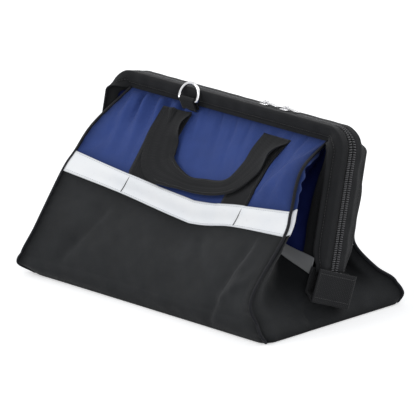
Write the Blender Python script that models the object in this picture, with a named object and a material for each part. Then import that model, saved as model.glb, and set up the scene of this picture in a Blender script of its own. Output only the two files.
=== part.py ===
"""Gate-mouth tool bag: a soft bag on a stiff base, held open by two hinged steel jaws.

Metres, +Z up. The origin is the centre of the flat bottom, X runs along the bag and -Y is its front.
The cloth is written as nets of points, in shares of the base's half length, half depth and the bag's
height, and smooth surfaces run through them. Everything on the jaws is laid out in the jaws' own
plane: x along the bag, r outward from the hinge line and n square to the plane, toward the back.
"""

from math import cos, hypot, pi, radians, sin

import bmesh
import bpy
from mathutils import Vector

# Driving sizes of the bag
HALF_LENGTH = 0.200
HALF_DEPTH = 0.115
BAG_HEIGHT = 0.240
CLOTH = 0.0025
FLAP_CLOTH = 0.0006
GAP = 0.0004
SEAM_GAP = 0.0006
GUSSET_EDGE = 0.0075
GUSSET_SEAM_GAP = 0.0014
PANEL_EDGE = 0.0026
BASE_GAP = 0.0006
FLAP_TOP_ROW = 6.1
SMOOTH_ANGLE = radians(35)

# Base
BOARD_THICKNESS = 0.003
BOARD_CORNER_RADIUS = 0.008
BOARD_INSET = 0.010
CORNER_SEGMENTS = 3

# End covers over the hinge rivets
HINGE_Y = -0.003
HINGE_Z = 0.042
COVER_WIDTH = 0.060
COVER_BELOW = 0.018
COVER_ABOVE = 0.019
COVER_INSIDE = 0.0061
COVER_OUTSIDE = 0.0085
COVER_PLY = 0.0012
COVER_FOLD_SEGMENTS = 6

# Sleeves of cloth round the bars
SLEEVE_CLEARANCE = 0.0025
SLEEVE_START = COVER_ABOVE + SLEEVE_CLEARANCE
SLEEVE_WIDTH = 0.021
SLEEVE_FAN = radians(80)
SLEEVE_EDGE_RADIUS = 0.0014
SLEEVE_PLY = 0.0014
SLEEVE_SIDE_PADDING = 0.00205
CROWN_RISE = 0.0022
SLEEVE_SIDES = 16
BAR_CLEARANCE = 0.0003

# Zip between the sleeves
ZIP_HALF_WIDTH = 0.0053
ZIP_SETBACK = 0.0010
TAPE_THICKNESS = 0.0007
COIL_WIDTH = 0.0024
COIL_HEIGHT = 0.0021
COIL_SIDES = 6

# Jaws: the closed pair leans back by JAW_LEAN
JAW_LEAN = radians(12)
BAR_INSET = 0.0055
BAR_DROP = 0.0084
BAR_BEND_RADIUS = 0.026
BAR_WIDTH = 0.010
BAR_THICKNESS = 0.0025
EYE_RIM = 0.002
EYE_CLEARANCE = 0.00045
EYE_START = 0.004
JOGGLE_MIDDLE = 0.0130
JOGGLE_SETBACK = 0.0015
EYE_SIDES = 16
RIVET_RADIUS = 0.0023
RIVET_CLEARANCE = 0.0003
RIVET_HEAD_RIM = 0.0025
RIVET_HEAD_THICKNESS = 0.0011

# Zip sliders and their pulls
SLIDER_CLEARANCE = 0.0004
SLIDER_SIDE_CLEARANCE = 0.0010
SLIDER_LENGTH = 0.013
SLIDER_PLATE = 0.0012
SLIDER_LIP = 0.0008
POST_LENGTH = 0.004
POST_THICKNESS = 0.0007
LUG_LENGTH = 0.0040
LUG_THICKNESS = 0.0010
LUG_HALF_GAP = 0.0022
LUG_RIM = 0.0012
PIN_RADIUS = 0.0007
PIN_SIDES = 10
PIN_PLAY = 0.0005
PULL_CLEARANCE = 0.0003
PULL_LENGTH = 0.022
PULL_HALF_WIDTH = 0.0035
PULL_THICKNESS = 0.0016
PULL_EYE_WALL = 0.0008
PULL_TILT = radians(7)
NECK_SHARE = 0.22
WIDE_SHARE = 0.36
LEFT_SLIDER_X = 0.047
RIGHT_SLIDER_X = 0.081

# Corner piping
PIPING_RADIUS = 0.0021
PIPING_SIDES = 6
PIPING_RING_COUNT = 18
PIPING_LIFT = 0.0010
PIPING_FOOT = 0.0015
PIPING_TOP_ROW = 5.88
PIPING_STEP_SHARE = 0.05

# Webbing handles: the loop's places run from its legs to its grip, as shares of the way across, of the
# way down and of the webbing's width
HANDLE_CENTRE = 0.010
HANDLE_INSET = 0.114
LEG_SLANT = 0.012
WEBBING_WIDTH = 0.045
WEBBING = 0.0016
LEG_LIFT = 0.0008
GRIP_WIDTH = 0.021
GRIP_THICKNESS = 0.0052
GRIP_HALF_LENGTH = 0.034
HANDLE_SKEW = 0.020
HANDLE_LIFT = 0.0050
LIFT_SHARE = 0.28
FOLD_GAP = 0.0014
LEFT_HANDLE_SHARES = ((1.0, 0.0, 1.0), (0.94, 0.30, 1.0), (0.92, 0.60, 0.98), (0.76, 0.87, 0.80))
RIGHT_HANDLE_SHARES = ((1.0, 0.0, 1.0), (0.94, 0.28, 1.0), (0.78, 0.56, 0.88), (0.42, 0.82, 0.66))
GRIP_DROP_SHARE = 0.97
HANDLE_STATION_COUNT = 24
HANDLE_FOOT_ROW = 4.32
LEG_FOOT_ROW = 3.15
LEG_TOP_ROW = 5.80
LEG_STATION_COUNT = 9
LEG_COLUMN_COUNT = 2
HALVING_COUNT = 24

# D-rings and their tabs
FRONT_RING_SHIFT = 0.016
BACK_RING_CLEARANCE = 0.0041
RING_DROP = 0.0120
RING_STAND_OFF = 0.0048
RING_LEAN = radians(8)
RING_REST = 0.0010
RING_HALF_WIDTH = 0.0155
RING_HEIGHT = 0.0210
RING_WIRE_RADIUS = 0.0019
RING_SIDES = 6
RING_BEND_COUNT = 8
TAB_WIDTH = 0.024
TAB_PLY = 0.0012
TAB_LENGTH = 0.0095
TAB_CLEARANCE = 0.0005
TAB_SLOPE = 0.0058
TAB_BEND_COUNT = 5
TAB_RETURN_SHARE = 0.75

# What follows from the sizes above
SLEEVE_HALF_WIDTH = BAR_WIDTH / 2 + BAR_CLEARANCE + SLEEVE_PLY
SLEEVE_HALF_THICKNESS = BAR_THICKNESS / 2 + BAR_CLEARANCE + SLEEVE_SIDE_PADDING
SLEEVE_CROWN = SLEEVE_HALF_THICKNESS + CROWN_RISE
BAR_HALF_SPAN = HALF_LENGTH - BAR_INSET
BAR_REACH = (BAG_HEIGHT - HINGE_Z) / cos(JAW_LEAN) - BAR_DROP
BAR_OFFSET = SLEEVE_HALF_WIDTH + ZIP_HALF_WIDTH
EYE_RADIUS = BAR_WIDTH / 2 + EYE_RIM
EYE_STAGGER = BAR_THICKNESS / 2 + EYE_CLEARANCE
JOGGLE_END = SLEEVE_START - JOGGLE_SETBACK
ZIP_START = SLEEVE_START + ZIP_SETBACK
COIL_GAP = POST_THICKNESS / 2 + SLIDER_CLEARANCE
COIL_TOP = TAPE_THICKNESS + GAP + COIL_HEIGHT
SLIDER_HALF_WIDTH = ZIP_HALF_WIDTH - SLIDER_SIDE_CLEARANCE
SLIDER_TOP = COIL_TOP + SLIDER_CLEARANCE + SLIDER_PLATE
PULL_HOLE_RADIUS = PIN_RADIUS + PIN_PLAY
PULL_EYE_RADIUS = PULL_HOLE_RADIUS + PULL_EYE_WALL
PIN_HEIGHT = SLIDER_TOP + GAP + PULL_EYE_RADIUS
LUG_TOP = PIN_HEIGHT + LUG_RIM
HANDLE_HALF_SPREAD = HALF_LENGTH - HANDLE_INSET
LEG_FOOT_HALF_SPREAD = HANDLE_HALF_SPREAD - LEG_SLANT
FRONT_RING_X = HANDLE_CENTRE - HANDLE_HALF_SPREAD + FRONT_RING_SHIFT
LEG_OUTER_X = HANDLE_CENTRE + HANDLE_HALF_SPREAD + WEBBING_WIDTH / 2
BACK_RING_X = LEG_OUTER_X + BACK_RING_CLEARANCE + RING_HALF_WIDTH + RING_WIRE_RADIUS
FOLD_LIFT = LEG_LIFT + WEBBING + FOLD_GAP
RING_AXIS_REACH = BAR_REACH - RING_DROP
RING_AXIS_OFFSET = BAR_OFFSET + SLEEVE_HALF_WIDTH + RING_STAND_OFF
TAB_LOOP_RADIUS = RING_WIRE_RADIUS + TAB_CLEARANCE

# Sampling of the cloth
PANEL_COLUMN_COUNT = 16
LOWER_ROW_COUNT = 7
BAND_ROW_COUNT = 2
UPPER_ROW_COUNT = 7
GUSSET_COLUMN_COUNT = 8
NORMAL_STEP_SHARE = 0.02

# The nets' columns run from the left corner to the right one and their rows go up: floor, low bulge,
# high bulge, foot of the band, top of the band, middle of the upper panel. The seam row is the jaws'.
FRONT_NET_SHARES = (
    ((-1.0, -1.0, 0.0), (-0.5, -1.0, 0.0), (0.05, -1.0, 0.0), (0.52, -1.0, 0.0), (1.0, -1.0, 0.0)),
    (
        (-1.055, -1.11, 0.085), (-0.51, -1.06, 0.11), (0.07, -1.06, 0.12),
        (0.52, -1.06, 0.12), (0.97, -1.08, 0.10),
    ),
    (
        (-0.975, -1.02, 0.26), (-0.50, -0.92, 0.31), (0.09, -0.90, 0.29),
        (0.50, -0.90, 0.31), (0.93, -1.10, 0.24),
    ),
    (
        (-0.95, -0.66, 0.525), (-0.49, -0.61, 0.485), (0.10, -0.58, 0.43),
        (0.48, -0.59, 0.475), (0.94, -0.64, 0.51),
    ),
    (
        (-0.925, -0.51, 0.62), (-0.45, -0.52, 0.58), (0.11, -0.49, 0.54),
        (0.50, -0.50, 0.58), (0.925, -0.51, 0.625),
    ),
    (
        (-0.91, -0.26, 0.745), (-0.44, -0.19, 0.735), (0.08, -0.17, 0.715),
        (0.47, -0.20, 0.74), (0.91, -0.33, 0.82),
    ),
)
BACK_NET_SHARES = (
    ((-1.0, 1.0, 0.0), (-0.5, 1.0, 0.0), (0.0, 1.0, 0.0), (0.5, 1.0, 0.0), (1.0, 1.0, 0.0)),
    ((-1.03, 1.07, 0.09), (-0.50, 1.08, 0.12), (0.0, 1.08, 0.12), (0.50, 1.06, 0.12), (0.985, 0.96, 0.12)),
    ((-0.935, 0.96, 0.28), (-0.50, 0.95, 0.31), (0.0, 0.93, 0.31), (0.49, 0.90, 0.28), (0.945, 0.73, 0.21)),
    (
        (-0.925, 0.76, 0.48), (-0.49, 0.74, 0.46), (0.0, 0.72, 0.45),
        (0.485, 0.68, 0.42), (0.895, 0.53, 0.34),
    ),
    ((-0.92, 0.70, 0.58), (-0.49, 0.70, 0.56), (0.0, 0.68, 0.55), (0.485, 0.64, 0.52), (0.88, 0.56, 0.45)),
    ((-0.90, 0.68, 0.74), (-0.45, 0.70, 0.73), (0.0, 0.71, 0.73), (0.46, 0.68, 0.71), (0.865, 0.63, 0.66)),
)
SEAM_COLUMN_SHARES = (-0.84, -0.42, 0.02, 0.43, 0.84)

# The ends fold inward between each corner and the jaws' arms. Rows as above, up to the top of the band.
FRONT_VALLEY_SHARES = (
    (1.0, -0.52, 0.0),
    (0.95, -0.55, 0.09),
    (0.84, -0.53, 0.22),
    (0.74, -0.40, 0.42),
    (0.71, -0.30, 0.52),
    (0.71, -0.12, 0.68),
    (0.76, 0.12, 0.78),
)
BACK_VALLEY_SHARES = (
    (1.0, 0.60, 0.0),
    (0.95, 0.60, 0.09),
    (0.86, 0.52, 0.18),
    (0.78, 0.40, 0.29),
    (0.75, 0.36, 0.42),
    (0.75, 0.41, 0.61),
    (0.77, 0.37, 0.75),
)
ARM_FOOT_SHARES = ((0.0, 0.0), (0.95, 0.09), (0.9875, 0.19), (1.0, 0.272))
ARM_INSET = 0.016
ARM_FOOT_HALF_WIDTH = 0.028
ARM_REACH_SHARES = (0.14, 0.46, 0.74)
TIP_SHARE = 0.6
BEND_SHARE = 0.86
SEAM_ROW = 6
HALF_SHARE = 0.5

# Colours, roughness and metallic value of each finish
BLACK_CLOTH = ((0.030, 0.031, 0.035), 0.78, 0.0)
BLUE_CLOTH = ((0.045, 0.062, 0.215), 0.62, 0.0)
WHITE_TAPE = ((0.78, 0.81, 0.84), 0.45, 0.0)
BLACK_WEBBING = ((0.022, 0.023, 0.025), 0.70, 0.0)
BLACK_PIPING = ((0.012, 0.013, 0.018), 0.50, 0.0)
BLACK_COIL = ((0.020, 0.020, 0.022), 0.35, 0.0)
BARE_STEEL = ((0.42, 0.42, 0.43), 0.35, 1.0)
CHROME = ((0.80, 0.80, 0.82), 0.12, 1.0)
GREY_BOARD = ((0.09, 0.09, 0.09), 0.85, 0.0)


def clear_scene():
    for thing in list(bpy.data.objects):
        bpy.data.objects.remove(thing, do_unlink=True)


def finish(name, look):
    """A Principled material of one colour, roughness and metallic value."""
    colour, roughness, metallic = look
    made = bpy.data.materials.new(name)
    made.use_nodes = True
    shader = made.node_tree.nodes["Principled BSDF"]
    shader.inputs["Base Color"].default_value = (*colour, 1.0)
    shader.inputs["Roughness"].default_value = roughness
    shader.inputs["Metallic"].default_value = metallic
    return made


def pivot(name, place, parent=None):
    """An empty on a joint's axis, which carries what turns or slides there."""
    empty = bpy.data.objects.new(name, None)
    bpy.context.scene.collection.objects.link(empty)
    empty.empty_display_size = EYE_RADIUS
    empty.parent = parent
    empty.location = place - (parent_place(parent) if parent else Vector())
    return empty


def parent_place(empty):
    """Where an empty is in the world."""
    place = Vector(empty.location)
    while empty.parent:
        empty = empty.parent
        place += empty.location
    return place


def add(name, bm, look, carrier=None):
    """An object from a bmesh built in world places, hung on its carrier if it has one."""
    bmesh.ops.recalc_face_normals(bm, faces=bm.faces)
    if carrier:
        bmesh.ops.translate(bm, verts=bm.verts, vec=-parent_place(carrier))
    mesh = bpy.data.meshes.new(name)
    bm.to_mesh(mesh)
    bm.free()
    mesh.shade_smooth()
    mesh.set_sharp_from_angle(angle=SMOOTH_ANGLE)
    made = bpy.data.objects.new(name, mesh)
    bpy.context.scene.collection.objects.link(made)
    made.parent = carrier
    mesh.materials.append(finish(name, look))
    return made


def curve_point(points, t):
    """The point at t on the smooth curve through the points, one unit of t from point to point."""
    last = len(points) - 1
    k = min(int(t), last - 1)
    f = t - k
    p1, p2 = points[k], points[k + 1]
    p0 = points[k - 1] if k else p1 * 2 - p2
    p3 = points[k + 2] if k + 2 <= last else p2 * 2 - p1
    return (
        p1 * 2
        + (p2 - p0) * f
        + (p0 * 2 - p1 * 5 + p2 * 4 - p3) * f * f
        + (p1 * 3 - p0 - p2 * 3 + p3) * f**3
    ) / 2


def net_point(net, u, v):
    """The point of a net's smooth surface: u counts columns and v counts rows."""
    return curve_point([curve_point(row, u) for row in net], v)


def net_normal(net, u, v):
    """The surface's normal, with u to the right and v up."""
    step = NORMAL_STEP_SHARE
    columns, rows = len(net[0]) - 1, len(net) - 1
    along = net_point(net, min(u + step, columns), v) - net_point(net, max(u - step, 0), v)
    up = net_point(net, u, min(v + step, rows)) - net_point(net, u, max(v - step, 0))
    return along.cross(up).normalized()


def spread(low, high, count):
    """Even steps from one value to another."""
    return [low + (high - low) * k / count for k in range(count + 1)]


def row_of(bm, points):
    return [bm.verts.new(p) for p in points]


def join_rows(bm, rows, closed=False):
    """Quads between neighbouring rows of vertices."""
    for low, high in zip(rows, rows[1:]):
        last = len(low) if closed else len(low) - 1
        for k in range(last):
            m = (k + 1) % len(low)
            bm.faces.new((low[k], low[m], high[m], high[k]))


def slab(outer, inner):
    """A closed sheet between two grids of points of the same size."""
    bm = bmesh.new()
    front = [row_of(bm, points) for points in outer]
    back = [row_of(bm, points) for points in inner]
    join_rows(bm, front)
    join_rows(bm, back)
    join_rows(bm, [front[0], back[0]])
    join_rows(bm, [front[-1], back[-1]])
    join_rows(bm, [[row[0] for row in front], [row[0] for row in back]])
    join_rows(bm, [[row[-1] for row in front], [row[-1] for row in back]])
    return bm


def tube(rings, bore=None):
    """A closed solid through rings of points, with an open bore through the bore's rings."""
    bm = bmesh.new()
    skin = [row_of(bm, ring) for ring in rings]
    join_rows(bm, skin, closed=True)
    if bore:
        core = [row_of(bm, ring) for ring in bore]
        join_rows(bm, core, closed=True)
    for end in (0, -1):
        if bore:
            loops = edges_of(bm, skin[end]) + edges_of(bm, core[end])
            bmesh.ops.bridge_loops(bm, edges=loops)
        else:
            bm.faces.new(skin[end])
    return bm


def edges_of(bm, ring):
    return [bm.edges.get((ring[k - 1], ring[k])) for k in range(len(ring))]


def prism(outline, low, high):
    """A straight solid between two copies of an outline, moved by low and by high."""
    return tube([[p + low for p in outline], [p + high for p in outline]])


def cut(target, tool_name, bm, operation="DIFFERENCE"):
    """A boolean with a hidden tool body."""
    tool = add(tool_name, bm, BARE_STEEL, target.parent)
    tool.hide_render = True
    tool.display_type = "WIRE"
    step = target.modifiers.new(tool_name, "BOOLEAN")
    step.operation = operation
    step.solver = "EXACT"
    step.object = tool


def circle(centre, radius, first, second, sides, start=0.0):
    """Points round a centre in the plane of two unit directions."""
    turns = [start + 2 * pi * k / sides for k in range(sides)]
    return [centre + first * cos(a) * radius + second * sin(a) * radius for a in turns]


# The jaws' plane

UP = Vector((0, sin(JAW_LEAN), cos(JAW_LEAN)))
BACK = Vector((0, cos(JAW_LEAN), -sin(JAW_LEAN)))
ALONG = Vector((1, 0, 0))
HINGE = Vector((0, HINGE_Y, HINGE_Z))
CORNERS = ((-1, -1), (1, -1), (1, 1), (-1, 1))


def jaw_point(x, r, n):
    """A world point from a place on the closed jaws."""
    return HINGE + ALONG * x + UP * r + BACK * n


def jaw_path(start):
    """Stations along the bar: x, r, the bar's inward direction in x and r, and how far the bend has gone."""
    straight = BAR_HALF_SPAN - BAR_BEND_RADIUS
    bend_r = BAR_REACH - BAR_BEND_RADIUS
    right = [(BAR_HALF_SPAN, r, -1.0, 0.0, 0.0) for r in spread(start, bend_r, 4)[:-1]]
    for a in spread(0, pi / 2, 5):
        x = straight + BAR_BEND_RADIUS * cos(a)
        r = bend_r + BAR_BEND_RADIUS * sin(a)
        right.append((x, r, -cos(a), -sin(a), a / (pi / 2)))
    middle = [(x, BAR_REACH, 0.0, -1.0, 1.0) for x in spread(straight, -straight, 6)[1:-1]]
    left = [(-x, r, -inward_x, inward_r, turn) for x, r, inward_x, inward_r, turn in reversed(right)]
    return right + middle + left


def flap_direction(side, inward_x, inward_r, turn):
    """Which way the sleeve's cloth leaves the bar: down under the top bar, sideways on the arms."""
    eased = turn * turn * (3 - 2 * turn)
    fan = SLEEVE_FAN * (1 - eased)
    inward = ALONG * inward_x + UP * inward_r
    return inward * cos(fan) + BACK * side * sin(fan)


def seam_point(side, station):
    """The edge of the sleeve, where the bag's cloth is sewn on."""
    x, r, inward_x, inward_r, turn = station
    place = jaw_point(x, r, side * BAR_OFFSET)
    return place + flap_direction(side, inward_x, inward_r, turn) * SLEEVE_WIDTH


def seam_on_bar(side, x):
    return seam_point(side, (x, BAR_REACH, 0.0, -1.0, 1.0))


def seam_on_arm(side, end, share):
    """A point of the seam on an arm or its bend: share 1 is the end of the bend."""
    bend_r = BAR_REACH - BAR_BEND_RADIUS
    if share <= BEND_SHARE:
        r = SLEEVE_START + (bend_r - SLEEVE_START) * share / BEND_SHARE
        return seam_point(side, (end * BAR_HALF_SPAN, r, -end, 0.0, 0.0))
    a = (share - BEND_SHARE) / (1 - BEND_SHARE) * pi / 2
    x = end * (BAR_HALF_SPAN - BAR_BEND_RADIUS * (1 - cos(a)))
    return seam_point(side, (x, bend_r + BAR_BEND_RADIUS * sin(a), -end * cos(a), -sin(a), a / (pi / 2)))


# The cloth's nets


def spot(shares):
    x, y, z = shares
    return Vector((x * HALF_LENGTH, y * HALF_DEPTH, z * BAG_HEIGHT))


def panel_net(side):
    rows = FRONT_NET_SHARES if side < 0 else BACK_NET_SHARES
    net = [[spot(shares) for shares in row] for row in rows]
    net.append([seam_on_bar(side, share * HALF_LENGTH) for share in SEAM_COLUMN_SHARES])
    return net


def corner_points(side, end):
    """The net's corner column at one end, floor to seam."""
    column = 0 if end < 0 else -1
    return [row[column] for row in panel_net(side)]


def mirrored(shares, end):
    x, y, z = shares
    return spot((x * end, y, z))


def arm_foot(side, end, row):
    """The edge of an end beside the hinge, in shares of the arm's inset and of the height."""
    inset_share, z_share = ARM_FOOT_SHARES[row]
    z = z_share * BAG_HEIGHT
    middle = HINGE_Y + (z - HINGE_Z) * sin(JAW_LEAN) / cos(JAW_LEAN)
    x = end * (HALF_LENGTH - ARM_INSET * inset_share)
    return Vector((x, middle + side * ARM_FOOT_HALF_WIDTH, z))


def end_net(side, end):
    """One half of an end, floor to seam: its corner, its valley and its edge along the jaw's arm."""
    corner = corner_points(side, end)
    valley = [mirrored(shares, end) for shares in (FRONT_VALLEY_SHARES if side < 0 else BACK_VALLEY_SHARES)]
    arm = [arm_foot(side, end, row) for row in range(4)]
    arm += [seam_on_arm(side, end, share) for share in (*ARM_REACH_SHARES, 1.0)]
    corner.insert(6, corner[5].lerp(corner[6], TIP_SHARE))
    valley.append((corner[7] + arm[7]) / 2)
    net = []
    for row, (near, fold, far) in enumerate(zip(corner, valley, arm)):
        inset = SLEEVE_EDGE_RADIUS + SEAM_GAP + CLOTH if row > 3 else 0
        net.append([step_toward(near, fold, GUSSET_EDGE), fold, step_toward(far, fold, inset)])
    return net


def step_toward(place, target, length):
    """A place moved toward a target by a length, or halfway where that is nearer."""
    way = target - place
    return place + way * min(length / max(way.length, GAP), HALF_SHARE)


def cloth_grids(net, columns, rows, outward, level_foot=False, lift=0.0, ply=CLOTH):
    """The good side and the back of a sheet of cloth on a net: the good side faces outward by the sign."""
    outer, inner = [], []
    for v in rows:
        outside, inside = [], []
        for u in columns:
            place = net_point(net, u, v)
            normal = net_normal(net, u, v) * outward
            top = place + normal * lift
            foot = top - normal * ply
            if level_foot and v == rows[0]:
                top.z = foot.z = place.z
            outside.append(top)
            inside.append(foot)
        outer.append(outside)
        inner.append(inside)
    return outer, inner


def cloth(*given, **named):
    return slab(*cloth_grids(*given, **named))


def edge_share(net, row, near, length):
    """How many columns a length takes up beside one edge of a net."""
    ends = (net[row][0], net[row][1]) if near == 0 else (net[row][-1], net[row][-2])
    return length / (ends[0] - ends[1]).length


def build_panels():
    """Front and back: a black lower panel, a white band and a blue upper panel."""
    for side, word in ((-1, "front"), (1, "back")):
        net = panel_net(side)
        outward = -side
        edge = edge_share(net, 3, 0, PANEL_EDGE)
        columns = spread(edge, 4 - edge, PANEL_COLUMN_COUNT)
        seam = SEAM_GAP / (net[4][2] - net[3][2]).length
        top = (SLEEVE_EDGE_RADIUS + SEAM_GAP) / (net[6][2] - net[5][2]).length
        parts = (
            ("lower_panel", spread(0, 3, LOWER_ROW_COUNT), BLACK_CLOTH, True),
            ("band", spread(3 + seam, 4 - seam, BAND_ROW_COUNT), WHITE_TAPE, False),
            ("upper_panel", spread(4, 6 - top, UPPER_ROW_COUNT), BLUE_CLOTH, False),
        )
        for name, rows, look, level in parts:
            add(f"{word}_{name}", cloth(net, columns, rows, outward, level_foot=level), look)


def build_ends():
    """The two folded ends: one black piece each, with a white strip and a blue flap on either side."""
    for end, place in ((-1, "left"), (1, "right")):
        across = spread(0, 2, GUSSET_COLUMN_COUNT)
        halves = []
        for side, word in ((-1, "front"), (1, "back")):
            net = end_net(side, end)
            outward = -side * end
            seam = GUSSET_SEAM_GAP / (net[4][0] - net[3][0]).length
            halves.append(cloth_grids(net, across, spread(0, 3, LOWER_ROW_COUNT - 1), outward, True, CLOTH))
            strip = cloth(net, across, (3 + seam, 4 - seam), outward, lift=CLOTH)
            add(f"{place}_{word}_gusset_band", strip, WHITE_TAPE)
            rows = spread(4, FLAP_TOP_ROW, UPPER_ROW_COUNT)
            sheet = cloth(net, across, rows, outward, ply=FLAP_CLOTH)
            add(f"{place}_{word}_gusset_flap", sheet, BLUE_CLOTH)
            add(f"{place}_{word}_piping", piping(side, end), BLACK_PIPING)
        outer, inner = ([near + far[::-1] for near, far in zip(*grids)] for grids in zip(*halves))
        add(f"{place}_lower_gusset", slab(outer, inner), BLACK_CLOTH)


def piping(side, end):
    """The cord sewn along one corner, floor to sleeve."""
    points = corner_points(side, end)
    outward = Vector((end, side, 0)).normalized()
    rings = []
    step = PIPING_STEP_SHARE
    for v in spread(0, PIPING_TOP_ROW, PIPING_RING_COUNT):
        place = curve_point(points, v)
        above, below = curve_point(points, min(v + step, SEAM_ROW)), curve_point(points, max(v - step, 0))
        ahead = (above - below).normalized()
        across = ahead.cross(outward).normalized()
        centre = place + outward * PIPING_LIFT
        rings.append(circle(centre, PIPING_RADIUS, across, ahead.cross(across), PIPING_SIDES))
    for p in rings[0]:
        p.z = PIPING_FOOT
    return tube(rings)


def build_base():
    """The bottom cloth and the stiff board that lies on it."""
    half_x = HALF_LENGTH - CLOTH - BASE_GAP
    half_y = HALF_DEPTH - CLOTH - BASE_GAP
    plates = (
        ("bottom_panel", half_x, half_y, 0.0, CLOTH, BLACK_CLOTH),
        ("base_board", half_x - BOARD_INSET, half_y - BOARD_INSET, CLOTH + GAP, BOARD_THICKNESS, GREY_BOARD),
    )
    for name, x, y, foot, thickness, look in plates:
        outline = rounded_rectangle(x, y, BOARD_CORNER_RADIUS)
        low = Vector((0, 0, foot))
        add(name, prism(outline, low, low + Vector((0, 0, thickness))), look)


def rounded_rectangle(half_x, half_y, radius):
    outline = []
    for k, (sx, sy) in enumerate(((1, 1), (-1, 1), (-1, -1), (1, -1))):
        centre = Vector((sx * (half_x - radius), sy * (half_y - radius), 0))
        for a in spread(k * pi / 2, (k + 1) * pi / 2, CORNER_SEGMENTS):
            outline.append(centre + Vector((cos(a), sin(a), 0)) * radius)
    return outline


def bar_rings(side, start, half_n, half_in):
    """Rectangular rings along one jaw's bar, square to it."""
    rings = []
    for x, r, inward_x, inward_r, turn in jaw_path(start):
        centre = jaw_point(x, r, side * BAR_OFFSET)
        inward = ALONG * inward_x + UP * inward_r
        rings.append([centre + inward * i * half_in + BACK * n * half_n for i, n in CORNERS])
    return rings


def build_jaw(side, word):
    """One jaw: the steel bar, its cloth sleeve, half of the zip, all turning on the hinge line."""
    carrier = pivot(f"{word}_jaw_axis", HINGE)
    half_bar, half_steel = BAR_WIDTH / 2, BAR_THICKNESS / 2
    rings = bar_rings(side, JOGGLE_END, half_bar, half_steel)
    for end in (1, -1):
        eye_x = end * (BAR_HALF_SPAN - side * EYE_STAGGER)
        for r, n in ((JOGGLE_MIDDLE, side * BAR_OFFSET / 2), (EYE_START, 0)):
            ring = [jaw_point(eye_x - end * i * half_steel, r, n + m * half_bar) for i, m in CORNERS]
            rings.insert(0 if end > 0 else len(rings), ring)
    frame = add(f"{word}_frame", tube(rings), BARE_STEEL, carrier)
    for end in (1, -1):
        eye_x = end * (BAR_HALF_SPAN - side * EYE_STAGGER)
        centre = jaw_point(eye_x, 0, 0)
        eye = circle(centre, EYE_RADIUS, UP, BACK, EYE_SIDES)
        half = ALONG * half_steel
        cut(frame, f"{word}_eye_{end}", prism(eye, -half, half), "UNION")
        hole = circle(centre, RIVET_RADIUS + RIVET_CLEARANCE, UP, BACK, EYE_SIDES)
        cut(frame, f"{word}_hole_{end}", prism(hole, -half * 2, half * 2))
    add(f"{word}_sleeve", sleeve(side), BLACK_WEBBING, carrier)
    add(f"{word}_zip_tape", zip_tape(side), BLACK_WEBBING, carrier)
    add(f"{word}_zip_coil", zip_coil(side), BLACK_COIL, carrier)
    return carrier


def sleeve(side):
    """A teardrop of cloth round the bar, drawn out to the edge that the bag is sewn to."""
    skin = []
    for station in jaw_path(SLEEVE_START):
        x, r, inward_x, inward_r, turn = station
        centre = jaw_point(x, r, side * BAR_OFFSET)
        inward = ALONG * inward_x + UP * inward_r
        flap = flap_direction(side, inward_x, inward_r, turn)
        tip = centre + flap * SLEEVE_WIDTH
        eased = turn * turn * (3 - 2 * turn)
        deep = SLEEVE_HALF_THICKNESS + (SLEEVE_CROWN - SLEEVE_HALF_THICKNESS) * eased
        across = flap.cross(inward.cross(BACK)).normalized()
        ring = []
        for k in range(SLEEVE_SIDES):
            a = 2 * pi * (k + 0.5) / SLEEVE_SIDES
            way = flap * cos(a) + across * sin(a)
            i, n = way.dot(inward) * deep, way.dot(BACK) * SLEEVE_HALF_WIDTH
            reach = hypot(i, n)
            head = centre + inward * (i * deep / reach) + BACK * (n * SLEEVE_HALF_WIDTH / reach)
            point = tip + way * SLEEVE_EDGE_RADIUS
            ring.append(max(head, point, key=lambda p: (p - centre).dot(way)))
        skin.append(ring)
    core = bar_rings(side, SLEEVE_START, BAR_WIDTH / 2 + BAR_CLEARANCE, BAR_THICKNESS / 2 + BAR_CLEARANCE)
    return tube(skin, core)


def zip_tape(side):
    """The flat strip between the sleeve and the middle of the zip."""
    rings = []
    near, far = COIL_GAP, ZIP_HALF_WIDTH - GAP
    corners = ((near, 0), (far, 0), (far, TAPE_THICKNESS), (near, TAPE_THICKNESS))
    for x, r, inward_x, inward_r, turn in jaw_path(ZIP_START):
        inward = ALONG * inward_x + UP * inward_r
        rings.append([jaw_point(x, r, side * n) - inward * h for n, h in corners])
    return tube(rings)


def zip_coil(side):
    """One row of the zip's coil, as a plain bead."""
    rings = []
    half_width, half_height = COIL_WIDTH / 2, COIL_HEIGHT / 2
    middle_n, middle_h = COIL_GAP + half_width, COIL_TOP - half_height
    turns = [2 * pi * (k + 0.5) / COIL_SIDES for k in range(COIL_SIDES)]
    for x, r, inward_x, inward_r, turn in jaw_path(ZIP_START):
        inward = ALONG * inward_x + UP * inward_r
        centre = jaw_point(x, r, side * middle_n) - inward * middle_h
        rings.append([centre + BACK * cos(a) * half_width + inward * sin(a) * half_height for a in turns])
    return tube(rings)


def build_rivets():
    """A headed rivet through both jaws' eyes at each end, and the folded cover over it."""
    inner = BAR_HALF_SPAN - EYE_STAGGER - BAR_THICKNESS / 2 - RIVET_CLEARANCE
    outer = BAR_HALF_SPAN + EYE_STAGGER + BAR_THICKNESS / 2 + RIVET_CLEARANCE
    head = RIVET_RADIUS + RIVET_HEAD_RIM
    for end, place in ((-1, "left"), (1, "right")):
        steps = (
            (inner - RIVET_HEAD_THICKNESS, head),
            (inner, head),
            (inner, RIVET_RADIUS),
            (outer, RIVET_RADIUS),
            (outer, head),
            (outer + RIVET_HEAD_THICKNESS, head),
        )
        rings = [circle(jaw_point(end * x, 0, 0), radius, UP, BACK, EYE_SIDES) for x, radius in steps]
        add(f"{place}_hinge_rivet", tube(rings), BARE_STEEL)
        add(f"{place}_end_cover", end_cover(end), BLACK_WEBBING)


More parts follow.
